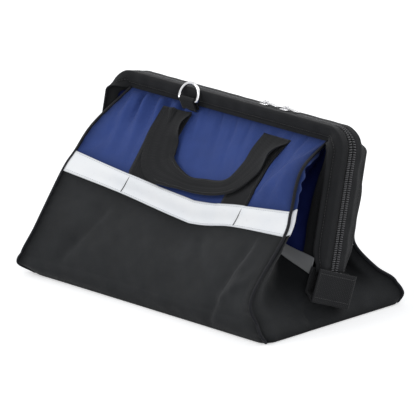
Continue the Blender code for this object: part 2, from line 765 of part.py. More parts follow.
def end_cover(end):
    """A strip of webbing folded up round the hinge: open at the top and at both sides."""
    near, far = BAR_HALF_SPAN - COVER_INSIDE, BAR_HALF_SPAN + COVER_OUTSIDE
    top, foot = COVER_ABOVE, -COVER_BELOW
    middle, radius = (near + far) / 2, (far - near) / 2
    turns = spread(0, pi, COVER_FOLD_SEGMENTS)
    outlines = []
    for ply in (0, COVER_PLY):
        bend = radius - ply
        fold = [(middle + bend * cos(a), foot + radius - bend * sin(a)) for a in turns]
        outlines.append([(far - ply, top), *fold, (near + ply, top)])
    half = COVER_WIDTH / 2
    grids = []
    for outline in outlines:
        grids.append([[jaw_point(end * x, r, n) for n in (-half, half)] for x, r in outline])
    return slab(*grids)


def handle_path():
    """The loop's centre line: across the bag, how far down the panel as a share, and its width."""
    leg = HANDLE_HALF_SPREAD - GRIP_HALF_LENGTH
    halves = []
    for end, shares in ((-1, LEFT_HANDLE_SHARES), (1, RIGHT_HANDLE_SHARES)):
        half = [(end * (GRIP_HALF_LENGTH + leg * x), drop, WEBBING_WIDTH * w) for x, drop, w in shares]
        halves.append([*half, (end * GRIP_HALF_LENGTH, GRIP_DROP_SHARE, GRIP_WIDTH)])
    left, right = halves
    points = [Vector(p) for p in (*left, (0.0, 1.0, GRIP_WIDTH), *reversed(right))]
    return [curve_point(points, t) for t in spread(0, len(points) - 1, HANDLE_STATION_COUNT)]


def handle_stations(side):
    """Each station's centre, the panel's normal there, its width and its thickness."""
    net = panel_net(side)
    stations = []
    for x, drop, width in handle_path():
        v = LEG_TOP_ROW + (HANDLE_FOOT_ROW - LEG_TOP_ROW) * drop
        place_x = HANDLE_CENTRE + x + HANDLE_SKEW * drop * drop
        u = column_at(net, place_x, v)
        out = net_normal(net, u, v)
        out = out if out.y * side > 0 else -out
        folded = max((WEBBING_WIDTH - width) / (WEBBING_WIDTH - GRIP_WIDTH), 0)
        thick = WEBBING + (GRIP_THICKNESS - WEBBING) * folded
        lift = FOLD_LIFT + (HANDLE_LIFT - FOLD_LIFT) * min(drop / LIFT_SHARE, 1)
        centre = net_point(net, u, v) + out * (lift + thick / 2)
        stations.append((centre, out, width, thick))
    return stations


def handle_loop(stations):
    """One webbing loop, folded at the sleeve's foot and lying down over the panel."""
    rings = []
    last = len(stations) - 1
    for k, (centre, out, width, thick) in enumerate(stations):
        if k in (0, last):
            across = ALONG if k else -ALONG
        else:
            ahead = (stations[k + 1][0] - stations[k - 1][0]).normalized()
            across = out.cross(ahead).normalized()
            across = across if across.dot(rings[-1][1] - rings[-1][0]) > 0 else -across
        rings.append([centre + across * i * width / 2 + out * j * thick / 2 for i, j in CORNERS])
    return tube(rings)


def handle_leg(side, end):
    """A strip of webbing sewn up the panel, from the band to the handle's fold."""
    net = panel_net(side)
    columns = len(net[0]) - 1
    grids = []
    for lift in (LEG_LIFT + WEBBING, LEG_LIFT):
        rows = []
        for v in spread(LEG_FOOT_ROW, LEG_TOP_ROW, LEG_STATION_COUNT):
            share = (v - LEG_FOOT_ROW) / (LEG_TOP_ROW - LEG_FOOT_ROW)
            spacing = LEG_FOOT_HALF_SPREAD + (HANDLE_HALF_SPREAD - LEG_FOOT_HALF_SPREAD) * share
            centre = HANDLE_CENTRE + end * spacing
            row = []
            for x in spread(centre - WEBBING_WIDTH / 2, centre + WEBBING_WIDTH / 2, LEG_COLUMN_COUNT):
                u = column_at(net, x, v)
                row.append(net_point(net, u, v) + net_normal(net, u, v) * -side * lift)
            rows.append(row)
        grids.append(rows)
    return slab(*grids)


def column_at(net, x, v):
    """Where along a row the surface reaches x."""
    low, high = 0.0, len(net[0]) - 1.0
    for _ in range(HALVING_COUNT):
        middle = (low + high) / 2
        if net_point(net, middle, v).x < x:
            low = middle
        else:
            high = middle
    return low


def build_handles(jaws):
    for side, word in ((-1, "front"), (1, "back")):
        stations = handle_stations(side)
        fold = (stations[0][0] + stations[-1][0]) / 2
        carrier = pivot(f"{word}_handle_axis", fold, jaws[word])
        add(f"{word}_handle", handle_loop(stations), BLACK_WEBBING, carrier)
        for end, place in ((-1, "left"), (1, "right")):
            add(f"{word}_handle_{place}_leg", handle_leg(side, end), BLACK_WEBBING)


def build_rings(jaws):
    """A D-ring in a webbing tab on each sleeve: the front one leans back, the back one lies on the panel."""
    for side, word, x in ((-1, "front", FRONT_RING_X), (1, "back", BACK_RING_X)):
        axis = jaw_point(x, RING_AXIS_REACH, side * RING_AXIS_OFFSET)
        bow = UP * cos(RING_LEAN) + BACK * sin(RING_LEAN) if side < 0 else lying_bow(axis, side)
        carrier = pivot(f"{word}_ring_axis", axis, jaws[word])
        add(f"{word}_d_ring", d_ring(axis, bow), CHROME, carrier)
        add(f"{word}_ring_tab", ring_tab(axis, side), BLACK_WEBBING, jaws[word])


def lying_bow(axis, side):
    """The way that a ring's bow points from its axis when it lies on the upper panel."""
    net = panel_net(side)
    low, high = SEAM_ROW - 1.0, float(SEAM_ROW)
    for _ in range(HALVING_COUNT):
        v = (low + high) / 2
        u = column_at(net, axis.x, v)
        reach = net_point(net, u, v) + net_normal(net, u, v) * -side * (RING_WIRE_RADIUS + RING_REST) - axis
        reach.x = 0
        if reach.length > RING_HEIGHT:
            low = v
        else:
            high = v
    return reach.normalized()


def d_ring(axis, up):
    """A bar along the bag with a round bow on one side of it."""
    bow = RING_HALF_WIDTH
    points = [(-bow, 0.0), (-bow, RING_HEIGHT - bow)]
    bends = spread(0, pi, RING_BEND_COUNT)[1:-1]
    points += [(-bow * cos(a), RING_HEIGHT - bow + bow * sin(a)) for a in bends]
    points += [(bow, RING_HEIGHT - bow), (bow, 0.0)]
    route = [axis + ALONG * x + up * h for x, h in points]
    normal = ALONG.cross(up)
    rings = []
    count = len(route)
    for k, place in enumerate(route):
        before = (place - route[k - 1]).normalized()
        after = (route[(k + 1) % count] - place).normalized()
        ahead = (before + after).normalized()
        mitre = 1 / ahead.dot(after)
        inward = normal.cross(ahead)
        ring = []
        for a in spread(0, 2 * pi, RING_SIDES)[:-1]:
            ring.append(place + (inward * cos(a) * mitre + normal * sin(a)) * RING_WIRE_RADIUS)
        rings.append(ring)
    bm = bmesh.new()
    rows = [row_of(bm, ring) for ring in rings]
    join_rows(bm, rows + rows[:1], closed=True)
    return bm


def ring_tab(axis, side):
    """A strip of webbing that lies on the sleeve, goes round the ring's bar and comes back."""
    outward = BACK * side
    foot = jaw_point(axis.x, RING_AXIS_REACH - TAB_LENGTH, side * (RING_AXIS_OFFSET - TAB_SLOPE))
    outer_radius, inner_radius = TAB_LOOP_RADIUS + TAB_PLY, TAB_LOOP_RADIUS
    down = (foot - axis).normalized()
    out = down.cross(ALONG)
    out = out if out.dot(outward) > 0 else -out
    length = (foot - axis).length
    grids = []
    for radius in (outer_radius, inner_radius):
        line = [axis + down * length - out * radius]
        line += [axis - down * radius * sin(a) - out * radius * cos(a) for a in spread(0, pi, TAB_BEND_COUNT)]
        line += [axis + down * length * TAB_RETURN_SHARE + out * radius]
        grids.append([[p + ALONG * x for x in (-TAB_WIDTH / 2, TAB_WIDTH / 2)] for p in line])
    return slab(*grids)


def build_sliders(jaws):
    """Two zip sliders, each with a pull on a pin between its lugs."""
    for x, place in ((LEFT_SLIDER_X, "left"), (RIGHT_SLIDER_X, "right")):
        seat = jaw_point(x, BAR_REACH, 0)
        carrier = pivot(f"{place}_slider_track", seat, jaws["front"])
        shell = add(f"{place}_slider", slider_plate(seat, 1), CHROME, carrier)
        for number, bm in enumerate(slider_pieces(seat)):
            cut(shell, f"{place}_slider_piece_{number}", bm, "UNION")
        pin = seat + UP * PIN_HEIGHT
        swing = pivot(f"{place}_pull_axis", pin, carrier)
        pull = add(f"{place}_pull", pull_blade(pin), CHROME, swing)
        cut(pull, f"{place}_pull_eye", pull_eye(pin, PULL_EYE_RADIUS, LUG_HALF_GAP - PULL_CLEARANCE), "UNION")
        cut(pull, f"{place}_pull_hole", pull_eye(pin, PULL_HOLE_RADIUS, PULL_HALF_WIDTH))


def brick(low, high, seat):
    """A block between two corners given along the bag, outward and toward the back."""
    x0, r0, n0 = low
    x1, r1, n1 = high
    outline = [seat + ALONG * x + BACK * n for x, n in ((x0, n0), (x1, n0), (x1, n1), (x0, n1))]
    return prism(outline, UP * r0, UP * r1)


def slider_plate(seat, which):
    """The upper or the lower plate of a slider."""
    half = SLIDER_LENGTH / 2
    foot = SLIDER_TOP - SLIDER_PLATE if which > 0 else -SLIDER_CLEARANCE - SLIDER_PLATE
    return brick((-half, foot, -SLIDER_HALF_WIDTH), (half, foot + SLIDER_PLATE, SLIDER_HALF_WIDTH), seat)


def slider_pieces(seat):
    """What joins and crowns the plates: the post between the coils, the front lip, lugs and pin."""
    half, post, ply = SLIDER_LENGTH / 2, POST_LENGTH / 2, POST_THICKNESS / 2
    inside = SLIDER_TOP - SLIDER_PLATE / 2
    foot = -SLIDER_CLEARANCE - SLIDER_PLATE / 2
    lip_foot = TAPE_THICKNESS + SLIDER_CLEARANCE
    pieces = [
        slider_plate(seat, -1),
        brick((-post, foot, -ply), (post, inside, ply), seat),
        brick((-half, lip_foot, -SLIDER_HALF_WIDTH), (half, inside, -SLIDER_HALF_WIDTH + SLIDER_LIP), seat),
    ]
    for n in (-1, 1):
        near, far = sorted((n * LUG_HALF_GAP, n * (LUG_HALF_GAP + LUG_THICKNESS)))
        pieces.append(brick((-LUG_LENGTH / 2, inside, near), (LUG_LENGTH / 2, LUG_TOP, far), seat))
    reach = LUG_HALF_GAP + LUG_THICKNESS / 2
    pin = circle(seat + UP * PIN_HEIGHT, PIN_RADIUS, ALONG, UP, PIN_SIDES)
    pieces.append(prism(pin, BACK * -reach, BACK * reach))
    return pieces


def pull_blade(pin):
    """A flat pull, narrow at its eye, lying toward the right end and dipping to the zip."""
    ahead = ALONG * cos(PULL_TILT) - UP * sin(PULL_TILT)
    up = ALONG * sin(PULL_TILT) + UP * cos(PULL_TILT)
    neck, wide = LUG_HALF_GAP - PULL_CLEARANCE, PULL_HALF_WIDTH
    outline = (
        (0.0, neck),
        (NECK_SHARE * PULL_LENGTH, neck),
        (WIDE_SHARE * PULL_LENGTH, wide),
        (PULL_LENGTH - wide / 2, wide),
        (PULL_LENGTH, wide / 2),
    )
    whole = [*outline, *((x, -n) for x, n in reversed(outline))]
    flat = [pin + ahead * x + BACK * n for x, n in whole]
    return prism(flat, up * -PULL_THICKNESS / 2, up * PULL_THICKNESS / 2)


def pull_eye(pin, radius, reach):
    ring = circle(pin, radius, ALONG, UP, PIN_SIDES)
    return prism(ring, BACK * -reach, BACK * reach)


def main():
    clear_scene()
    build_base()
    build_panels()
    build_ends()
    build_rivets()
    jaws = {}
    for side, word in ((-1, "front"), (1, "back")):
        jaws[word] = build_jaw(side, word)
    build_handles(jaws)
    build_rings(jaws)
    build_sliders(jaws)


main()
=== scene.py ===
"""The gate-mouth tool bag dressed for its picture: cloth, webbing, reflective tape, zip and metal.

Metres, +Z up, the bag's front toward -Y. The cloth runs on nets of points, in shares of the base's half
length, half depth and the bag's height. What is on the jaws is laid out in their own plane: x along the
bag, r outward from the hinge line and n square to it, toward the back.
"""

from math import cos, pi, radians, sin, tanh

import bmesh
import bpy
import numpy as np
from mathutils import Matrix, Vector


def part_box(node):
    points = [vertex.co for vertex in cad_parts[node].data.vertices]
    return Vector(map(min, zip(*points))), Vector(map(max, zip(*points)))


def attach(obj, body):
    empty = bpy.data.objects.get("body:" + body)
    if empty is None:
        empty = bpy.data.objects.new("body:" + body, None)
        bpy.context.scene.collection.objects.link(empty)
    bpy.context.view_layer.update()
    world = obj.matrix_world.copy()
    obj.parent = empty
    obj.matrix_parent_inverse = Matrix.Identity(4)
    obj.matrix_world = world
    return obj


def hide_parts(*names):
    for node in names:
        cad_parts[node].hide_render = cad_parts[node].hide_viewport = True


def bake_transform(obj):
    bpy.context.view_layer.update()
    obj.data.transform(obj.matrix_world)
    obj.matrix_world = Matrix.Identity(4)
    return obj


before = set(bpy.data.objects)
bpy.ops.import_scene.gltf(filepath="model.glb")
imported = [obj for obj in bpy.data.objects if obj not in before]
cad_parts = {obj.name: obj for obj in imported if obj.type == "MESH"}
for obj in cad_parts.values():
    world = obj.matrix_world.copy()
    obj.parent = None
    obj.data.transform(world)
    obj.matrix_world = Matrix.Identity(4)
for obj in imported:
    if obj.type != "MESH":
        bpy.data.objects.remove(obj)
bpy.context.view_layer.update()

# Sizes of the bag, as in the solid model
HALF_LENGTH, HALF_DEPTH, BAG_HEIGHT = 0.200, 0.115, 0.240
HINGE = np.array((0.0, -0.003, 0.042))
JAW_LEAN = radians(12)
ALONG = np.array((1.0, 0.0, 0.0))
UP = np.array((0.0, sin(JAW_LEAN), cos(JAW_LEAN)))
BACK = np.array((0.0, cos(JAW_LEAN), -sin(JAW_LEAN)))
BAR_HALF_SPAN, BAR_REACH, BAR_OFFSET, BAR_BEND = 0.1945, 0.194024, 0.0120, 0.026
SLEEVE_START, SLEEVE_WIDTH, SLEEVE_FAN = 0.0215, 0.021, radians(80)
SLEEVE_HALF_WIDTH, SLEEVE_HALF_THICKNESS, SLEEVE_EDGE = 0.0067, 0.0036, 0.0014
SLEEVE_CROWNS, SLEEVE_ROUNDING, SLEEVE_TUCK = {-1: 0.0031, 1: 0.0029}, 0.0024, 0.0045
ZIP_START, ZIP_HALF_WIDTH, COIL_GAP, COIL_TOP = 0.0225, 0.0053, 0.00075, 0.0032
HANDLE_CENTRE, HANDLE_SPREAD, LEG_FOOT_SPREAD = 0.010, 0.086, 0.074
WEBBING_WIDTH, WEBBING, GRIP_WIDTH, GRIP_THICKNESS, GRIP_HALF_LENGTH = 0.045, 0.0016, 0.021, 0.0052, 0.034
RING_WIRE, RING_DROP, RING_OFFSET = 0.0019, 0.0120, BAR_OFFSET + SLEEVE_HALF_WIDTH + 0.0048

# How far the finished cloth stays above the floor, and the reflective tape off the cloth under it
FLOOR_GAP, TAPE_LIFT, TAPE_THICKNESS, TAPE_EDGE = 0.0004, 0.0009, 0.0008, 0.0012
CLOTH_THICKNESS, CLOTH_EDGE = 0.0020, 0.010

# The panels' points by row, from the floor up: the band lies between the fourth row and the fifth
FRONT_NET = (
    ((-1.0, -1.0, 0.0), (-0.5, -1.0, 0.0), (0.05, -1.0, 0.0), (0.52, -1.0, 0.0), (1.0, -1.0, 0.0)),
    (
        (-1.055, -1.11, 0.085), (-0.51, -1.06, 0.11), (0.07, -1.06, 0.12), (0.52, -1.06, 0.12),
        (0.97, -1.08, 0.10),
    ),
    (
        (-0.975, -1.02, 0.26), (-0.50, -0.92, 0.31), (0.09, -0.90, 0.29), (0.50, -0.90, 0.31),
        (0.93, -1.10, 0.24),
    ),
    (
        (-0.95, -0.66, 0.525), (-0.49, -0.61, 0.485), (0.10, -0.58, 0.43), (0.48, -0.59, 0.475),
        (0.94, -0.64, 0.51),
    ),
    (
        (-0.925, -0.51, 0.62), (-0.45, -0.52, 0.58), (0.11, -0.49, 0.54), (0.50, -0.50, 0.58),
        (0.925, -0.51, 0.625),
    ),
    (
        (-0.91, -0.26, 0.745), (-0.44, -0.19, 0.735), (0.08, -0.17, 0.715), (0.47, -0.20, 0.74),
        (0.91, -0.33, 0.82),
    ),
)
BACK_NET = (
    ((-1.0, 1.0, 0.0), (-0.5, 1.0, 0.0), (0.0, 1.0, 0.0), (0.5, 1.0, 0.0), (1.0, 1.0, 0.0)),
    ((-1.03, 1.07, 0.09), (-0.50, 1.08, 0.12), (0.0, 1.08, 0.12), (0.50, 1.06, 0.12), (0.985, 0.96, 0.12)),
    ((-0.935, 0.96, 0.28), (-0.50, 0.95, 0.31), (0.0, 0.93, 0.31), (0.49, 0.90, 0.28), (0.945, 0.73, 0.21)),
    (
        (-0.925, 0.76, 0.48), (-0.49, 0.74, 0.46), (0.0, 0.72, 0.45), (0.485, 0.68, 0.42),
        (0.878, 0.53, 0.34),
    ),
    ((-0.92, 0.70, 0.58), (-0.49, 0.70, 0.56), (0.0, 0.68, 0.55), (0.485, 0.64, 0.52), (0.862, 0.56, 0.45)),
    ((-0.90, 0.68, 0.74), (-0.45, 0.70, 0.73), (0.0, 0.71, 0.73), (0.46, 0.68, 0.71), (0.865, 0.63, 0.66)),
)
SEAM_COLUMNS = (-0.84, -0.42, 0.02, 0.43, 0.84)
VALLEYS = {
    -1: (
        (1.0, -0.52, 0.0), (0.95, -0.55, 0.09), (0.84, -0.53, 0.22), (0.74, -0.38, 0.38),
        (0.71, -0.29, 0.43), (0.70, -0.10, 0.64), (0.75, 0.12, 0.77),
    ),
    1: (
        (1.0, 0.60, 0.0), (0.95, 0.60, 0.09), (0.86, 0.52, 0.18), (0.78, 0.40, 0.29),
        (0.75, 0.36, 0.42), (0.75, 0.41, 0.61), (0.77, 0.37, 0.75),
    ),
}
# The ends' inner edge below the sleeves, as inset and height, and its places up the sleeves' seam
ARM_FOOT = ((0.0, 0.0), (0.95, 0.09), (0.9875, 0.19), (1.0, 0.272))
ARM_SHARES, STRAIGHT_SHARE = (0.10, 0.46, 0.74, 1.0), 0.86
# How far the end's cloth runs on past the piping before it turns in, row by row
LIPS = {(-1, 1): (0.0, 0.1, 0.45, 1.0, 1.0, 0.85, 0.6, 0.2)}
LIP_WIDTH, NEAR_INSET, FAR_INSET = 0.0105, 0.0016, 0.0012
CORNER_RADIUS, CORNER_HEIGHT, BELLY, BELLY_HEIGHT = 0.0135, 0.015, 0.0105, 0.026
WORDS, PLACES = {-1: "front", 1: "back"}, {-1: "left", 1: "right"}


# ---- The jaws' plane ----


def jaw_point(x, r, n):
    """A place in the jaws' plane, in the world."""
    return HINGE + ALONG * x + UP * r + BACK * n


def on_bar(hand, length, start):
    """A place a given length up a bar's arm, round its bend and over its top: the place along the bag and
    out from the hinge, the bar's inward direction, and how far the bend has gone."""
    bend_x, bend_r = BAR_HALF_SPAN - BAR_BEND, BAR_REACH - BAR_BEND
    a = min(max((length - bend_r + start) / BAR_BEND, 0), pi / 2)
    past = length - bend_r + start - a * BAR_BEND
    x = bend_x + BAR_BEND * cos(a) - max(past, 0)
    r = bend_r + BAR_BEND * sin(a) + min(past, 0)
    return hand * x, r, ALONG * -hand * cos(a) - UP * sin(a), a / (pi / 2)


def jaw_stations(start, count):
    """Even stations from the right arm's foot over the top to the left one's, each with its length so far."""
    total = 2 * (BAR_REACH + BAR_HALF_SPAN + (pi / 2 - 2) * BAR_BEND - start)
    lengths = np.linspace(0, total, count)
    return [(s, *on_bar(1 if s < total / 2 else -1, min(s, total - s), start)) for s in lengths]


def eased(t):
    return t * t * (3 - 2 * t)


def flap_direction(side, inward, turn):
    """The way a sleeve's sewn edge points: outward to its side down the arms, inward over the top."""
    fan = SLEEVE_FAN * (1 - eased(turn))
    return inward * cos(fan) + BACK * side * sin(fan)


def sewn_width(turn):
    """How far the sleeve's sewn edge is from the bar: less over the top than down the arms."""
    return SLEEVE_WIDTH - SLEEVE_TUCK * eased(turn)


def foot_share(out):
    """What share of its width the sleeve has, a given way up from its foot."""
    return 0.55 + 0.45 * eased(min(out / 0.030, 1))


def seam_point(side, x, r, inward, turn, tucked=True):
    """A place on the sleeve's sewn edge, beside a place on the bar."""
    width = (sewn_width(turn) if tucked else SLEEVE_WIDTH) * foot_share(r - SLEEVE_START)
    return jaw_point(x, r, side * BAR_OFFSET) + flap_direction(side, inward, turn) * width


def seam_on_arm(side, end, share):
    """A place on the sleeve's seam, up the arm's straight share and then round its bend."""
    arm = BAR_REACH - BAR_BEND - SLEEVE_START
    length = np.interp(share, (0, STRAIGHT_SHARE, 1), (0, arm, arm + pi / 2 * BAR_BEND))
    return seam_point(side, *on_bar(end, length, SLEEVE_START))


# ---- The cloth's nets ----


def spot(x, y, z):
    return np.array((x * HALF_LENGTH, y * HALF_DEPTH, z * BAG_HEIGHT))


def panel_net(side, tucked=True):
    """A panel's points from the floor up, with the sleeve's seam as the last row."""
    net = [[spot(*shares) for shares in row] for row in (FRONT_NET if side < 0 else BACK_NET)]
    net.append([seam_point(side, x * HALF_LENGTH, BAR_REACH, -UP, 1.0, tucked) for x in SEAM_COLUMNS])
    return np.array(net)


def arm_column(side, end):
    """An end's edge beside the jaw's arm, from the floor to the top of the sleeve's seam."""
    column = []
    for inset_share, z_share in ARM_FOOT:
        z = z_share * BAG_HEIGHT
        middle = HINGE[1] + (z - HINGE[2]) * sin(JAW_LEAN) / cos(JAW_LEAN)
        column.append(np.array((end * (HALF_LENGTH - 0.016 * inset_share), middle + side * 0.028, z)))
    return column + [seam_on_arm(side, end, share) for share in ARM_SHARES]


def end_net(side, end):
    """One half of an end: its corner, its valley and its edge along the jaw's arm."""
    column = [row[0 if end < 0 else -1] for row in panel_net(side)]
    column.insert(6, column[5] * 0.4 + column[6] * 0.6)
    valley = [spot(x * end, y, z) for x, y, z in VALLEYS[side]]
    arm = arm_column(side, end)
    valley.append((column[7] + arm[7]) / 2)
    net = []
    for row, (near, fold, far) in enumerate(zip(column, valley, arm)):
        start = step_toward(near, fold, NEAR_INSET)
        lip = LIPS.get((side, end), (0.0,) * 8)[row]
        on_way = start * 0.62 + fold * 0.38
        out = start + np.array((-end * 0.0005, -side * LIP_WIDTH, 0.0))
        far = step_toward(far, fold, FAR_INSET if row > 3 else 0.0)
        net.append([start, on_way * (1 - lip) + out * lip, fold, far])
    return np.array(net)


def step_toward(place, target, length):
    way = target - place
    return place + way * min(length / max(np.linalg.norm(way), 0.0004), 0.5)


def curve_weights(count, places):
    """How much each of a row's points counts at each place on the smooth curve through them."""
    each = np.eye(count)
    # One more at each end, straight on from the last two
    points = np.vstack((2 * each[0] - each[1], each, 2 * each[-1] - each[-2]))
    weights = []
    for t in places:
        k = min(int(t), count - 2)
        f = t - k
        four = (2 * f * f - f - f**3, 2 - 5 * f * f + 3 * f**3, f + 4 * f * f - 3 * f**3, f**3 - f * f)
        weights.append(np.array(four) / 2 @ points[k : k + 4])
    return np.array(weights)


def on_net(net, columns, rows):
    """The net's smooth surface at each row and column."""
    down, across = curve_weights(len(net), rows), curve_weights(len(net[0]), columns)
    return np.einsum("mr,rcx,nc->mnx", down, net, across)


def unit(vectors):
    return vectors / np.maximum(np.linalg.norm(vectors, axis=-1, keepdims=True), 1e-9)


def grid_normals(grid):
    """Normals of a grid of places, with columns to the right and rows up."""
    return unit(np.cross(np.gradient(grid, axis=1), np.gradient(grid, axis=0)))


def ring_normals(rings):
    """The same for rings that close on themselves."""
    return grid_normals(np.concatenate((rings, rings[:, :1]), axis=1))[:, :-1]


def lengths_along(line):
    """The distance from a line's start to each of its points."""
    return np.concatenate(((0,), np.cumsum(np.linalg.norm(np.diff(line, axis=0), axis=1))))


def at_marks(points, lengths, marks):
    """What the points come to at given distances along their line."""
    return np.stack([np.interp(marks, lengths, points[:, k]) for k in range(3)], axis=1)


def along_grid(grid):
    """Each place's distance along its row from the middle and up its column from the foot."""
    across = np.zeros(grid.shape[:2])
    across[:, 1:] = np.cumsum(np.linalg.norm(np.diff(grid, axis=1), axis=2), axis=1)
    across -= across[:, across.shape[1] // 2, None]
    up = np.zeros(grid.shape[:2])
    up[1:] = np.cumsum(np.linalg.norm(np.diff(grid, axis=0), axis=2), axis=0)
    return np.stack((across, up), axis=2)


# ---- Folds and dents of the cloth ----


def round_corners(places):
    """Fills the cloth out low down and draws it in round the bag's four bottom corners."""
    t = np.clip(places[..., 2] / BELLY_HEIGHT, 0, 1)
    near = np.abs(places[..., :2]) / np.array((HALF_LENGTH, HALF_DEPTH))
    near = np.clip((near - (0.80, 0.60)) / (0.20, 0.40), 0, 1)
    places = places.copy()
    belly = BELLY * ((t * (2 - t)) ** 0.5 - t)
    places[..., :2] += np.sign(places[..., :2]) * eased(near) * belly[..., None]
    flat = np.abs(places[..., :2]) - np.array((HALF_LENGTH - CORNER_RADIUS, HALF_DEPTH - CORNER_RADIUS))
    past = np.maximum(flat, 0)
    low = np.clip(1 - places[..., 2] / CORNER_HEIGHT, 0, 1)
    roundness = past.max(axis=-1) / np.maximum(np.linalg.norm(past, axis=-1), 1e-6)
    drawn = np.where(past.min(axis=-1) > 0, (1 - roundness) * eased(low), 0)
    rounded = places.copy()
    rounded[..., :2] -= np.sign(places[..., :2]) * past * drawn[..., None]
    rounded[..., 2] = np.maximum(places[..., 2], FLOOR_GAP)
    return rounded


def unevenness(places, size, seed):
    """Soft hills and hollows about size across, between -1 and 1."""
    dice = np.random.default_rng(seed)
    total = np.zeros(places.shape[:-1])
    for _ in range(9):
        way = dice.normal(size=3)
        way /= np.linalg.norm(way)
        total += np.sin(places @ way * (2 * pi / (size * dice.uniform(0.8, 1.7))) + dice.uniform(0, 2 * pi))
    return total / 5


def along_and_off(places, foot, head):
    """How far each place is along a line in x and z, and off to its left, and the line's length."""
    a, b = np.array(foot), np.array(head)
    length = np.linalg.norm(b - a)
    way = (b - a) / length
    flat = places[..., (0, 2)] - a
    return flat @ way, flat @ np.array((-way[1], way[0])), length


def fold(places, foot, head, width, depth, lean):
    """A fold along a line in the x and z of a panel: its crest, its width and its depth."""
    t, off, length = along_and_off(places, foot, head)
    past = np.maximum(np.maximum(-t, t - length), 0)
    fade = np.exp(-((past / (length * 0.3)) ** 2))
    wide = np.where(off > 0, width * (1 + lean), width * (1 - lean))
    return depth * fade * np.exp(-np.abs(off / wide) ** 1.8)


def swell(places, foot, head, height, rise, reach):
    """A crease along a line in x and z: the cloth below it stands out and falls away again."""
    t, off, length = along_and_off(places, foot, head)
    fade = np.clip(np.minimum(t / length + 0.15, 1.15 - t / length) / 0.3, 0, 1)
    below = np.maximum(-off, 0)
    return height * fade * (1 - np.exp(-below / rise)) * np.exp(-below / reach)


def fade_from(values, edge, reach):
    """0 at an edge, 1 beyond its reach."""
    return eased(np.clip(np.abs(values - edge) / reach, 0, 1))


# Each fold: foot and head in x and z, width, depth, lean; the swell: foot, head, height, rise, reach
FRONT_SWELL = (0.119, 0.160), (0.182, 0.222), 0.0150, 0.004, 0.026
FRONT_LOWER_FOLDS = (
    ((-0.124, 0.058), (-0.104, 0.090), 0.010, -0.0024, 0.4),
    ((-0.144, 0.034), (-0.130, 0.056), 0.009, -0.0026, 0.2),
    ((-0.085, 0.060), (-0.040, 0.100), 0.016, 0.0016, 0.0),
    ((0.055, 0.092), (0.104, 0.050), 0.009, -0.0028, 0.2),
    ((0.118, 0.030), (0.140, 0.100), 0.009, -0.0036, 0.4),
    ((0.128, 0.045), (0.160, 0.070), 0.007, 0.0026, 0.2),
    ((0.146, 0.060), (0.150, 0.112), 0.008, 0.0022, 0.0),
    ((0.020, 0.020), (0.110, 0.028), 0.014, 0.0016, 0.0),
)
FRONT_UPPER_FOLDS = (
    ((0.112, 0.158), (0.178, 0.216), 0.0045, 0.0018, 0.3),
    ((0.140, 0.150), (0.158, 0.185), 0.006, -0.0022, 0.2),
    ((-0.163, 0.158), (-0.142, 0.192), 0.008, -0.0018, 0.0),
    ((-0.070, 0.165), (-0.055, 0.205), 0.010, -0.0014, 0.0),
    ((-0.010, 0.165), (0.040, 0.190), 0.014, 0.0018, 0.0),
)
BACK_LOWER_FOLDS = (
    ((-0.130, 0.040), (-0.095, 0.090), 0.011, -0.0026, 0.2),
    ((-0.070, 0.046), (0.040, 0.048), 0.018, -0.0026, 0.0),
    ((0.090, 0.035), (0.120, 0.075), 0.011, -0.0026, 0.2),
)
BACK_UPPER_FOLDS = (
    ((-0.150, 0.150), (-0.120, 0.195), 0.009, -0.0022, 0.1),
    ((0.020, 0.150), (0.060, 0.190), 0.012, 0.0018, 0.0),
    ((0.120, 0.140), (0.155, 0.180), 0.009, 0.0026, 0.3),
)


def gathers(places):
    """Waves along the cloth's sewn top, slanting a little with its folds."""
    slanted = places[..., 0] + 0.35 * (places[..., 2] - 0.2)
    waves = 2 * np.abs(np.sin(pi * slanted / 0.0235 + 0.5 * unevenness(places, 0.07, 21))) - 1
    return waves + 0.25 * np.sin(2 * pi * slanted / 0.0131)


def panel_relief(side, places, u, v):
    """How far a panel's cloth stands off its net, out from the bag."""
    x = places[..., 0]
    low, high = (FRONT_LOWER_FOLDS, FRONT_UPPER_FOLDS) if side < 0 else (BACK_LOWER_FOLDS, BACK_UPPER_FOLDS)
    below = np.where(v < 3, fade_from(v, 3, 0.5) * fade_from(v, 0, 0.5), 0)
    above = np.where(v > 4, fade_from(v, 4, 0.5) * fade_from(v, 6, 0.12), 0)
    ends = fade_from(u, 0, 0.22) * fade_from(u, 4, 0.22)
    soft_low = 0.0020 * unevenness(places, 0.085, 3 + side) + 0.0005 * unevenness(places, 0.03, 7)
    soft_high = 0.0012 * unevenness(places, 0.060, 5 + side) + 0.0004 * unevenness(places, 0.024, 8)
    relief = below * ends * (soft_low + sum(fold(places, *given) for given in low))
    relief += above * (ends * soft_high + sum(fold(places, *given) for given in high))
    if side < 0:
        relief += above * fade_from(u, 4, 0.3) * swell(places, *FRONT_SWELL)
    # Gathers where the cloth is sewn to the sleeve, deepest at the left
    down = np.clip(6 - v, 0, 2)
    hang = down / 0.30 * np.exp(1 - down / 0.30)
    pull = 0.30 + 1.20 * np.clip((-0.045 - x) / 0.04, 0, 1) * np.clip((x + 0.162) / 0.02, 0, 1)
    relief += above * ends * 0.0040 * pull * hang * gathers(places)
    # Puckers beside the piping
    close = np.exp(-np.minimum(u, 4 - u) / 0.10) * (fade_from(u, 0, 0.03) * fade_from(u, 4, 0.03))
    relief += close * (below + above) * 0.0006 * np.sin(2 * pi * places[..., 2] / 0.0115)
    return relief


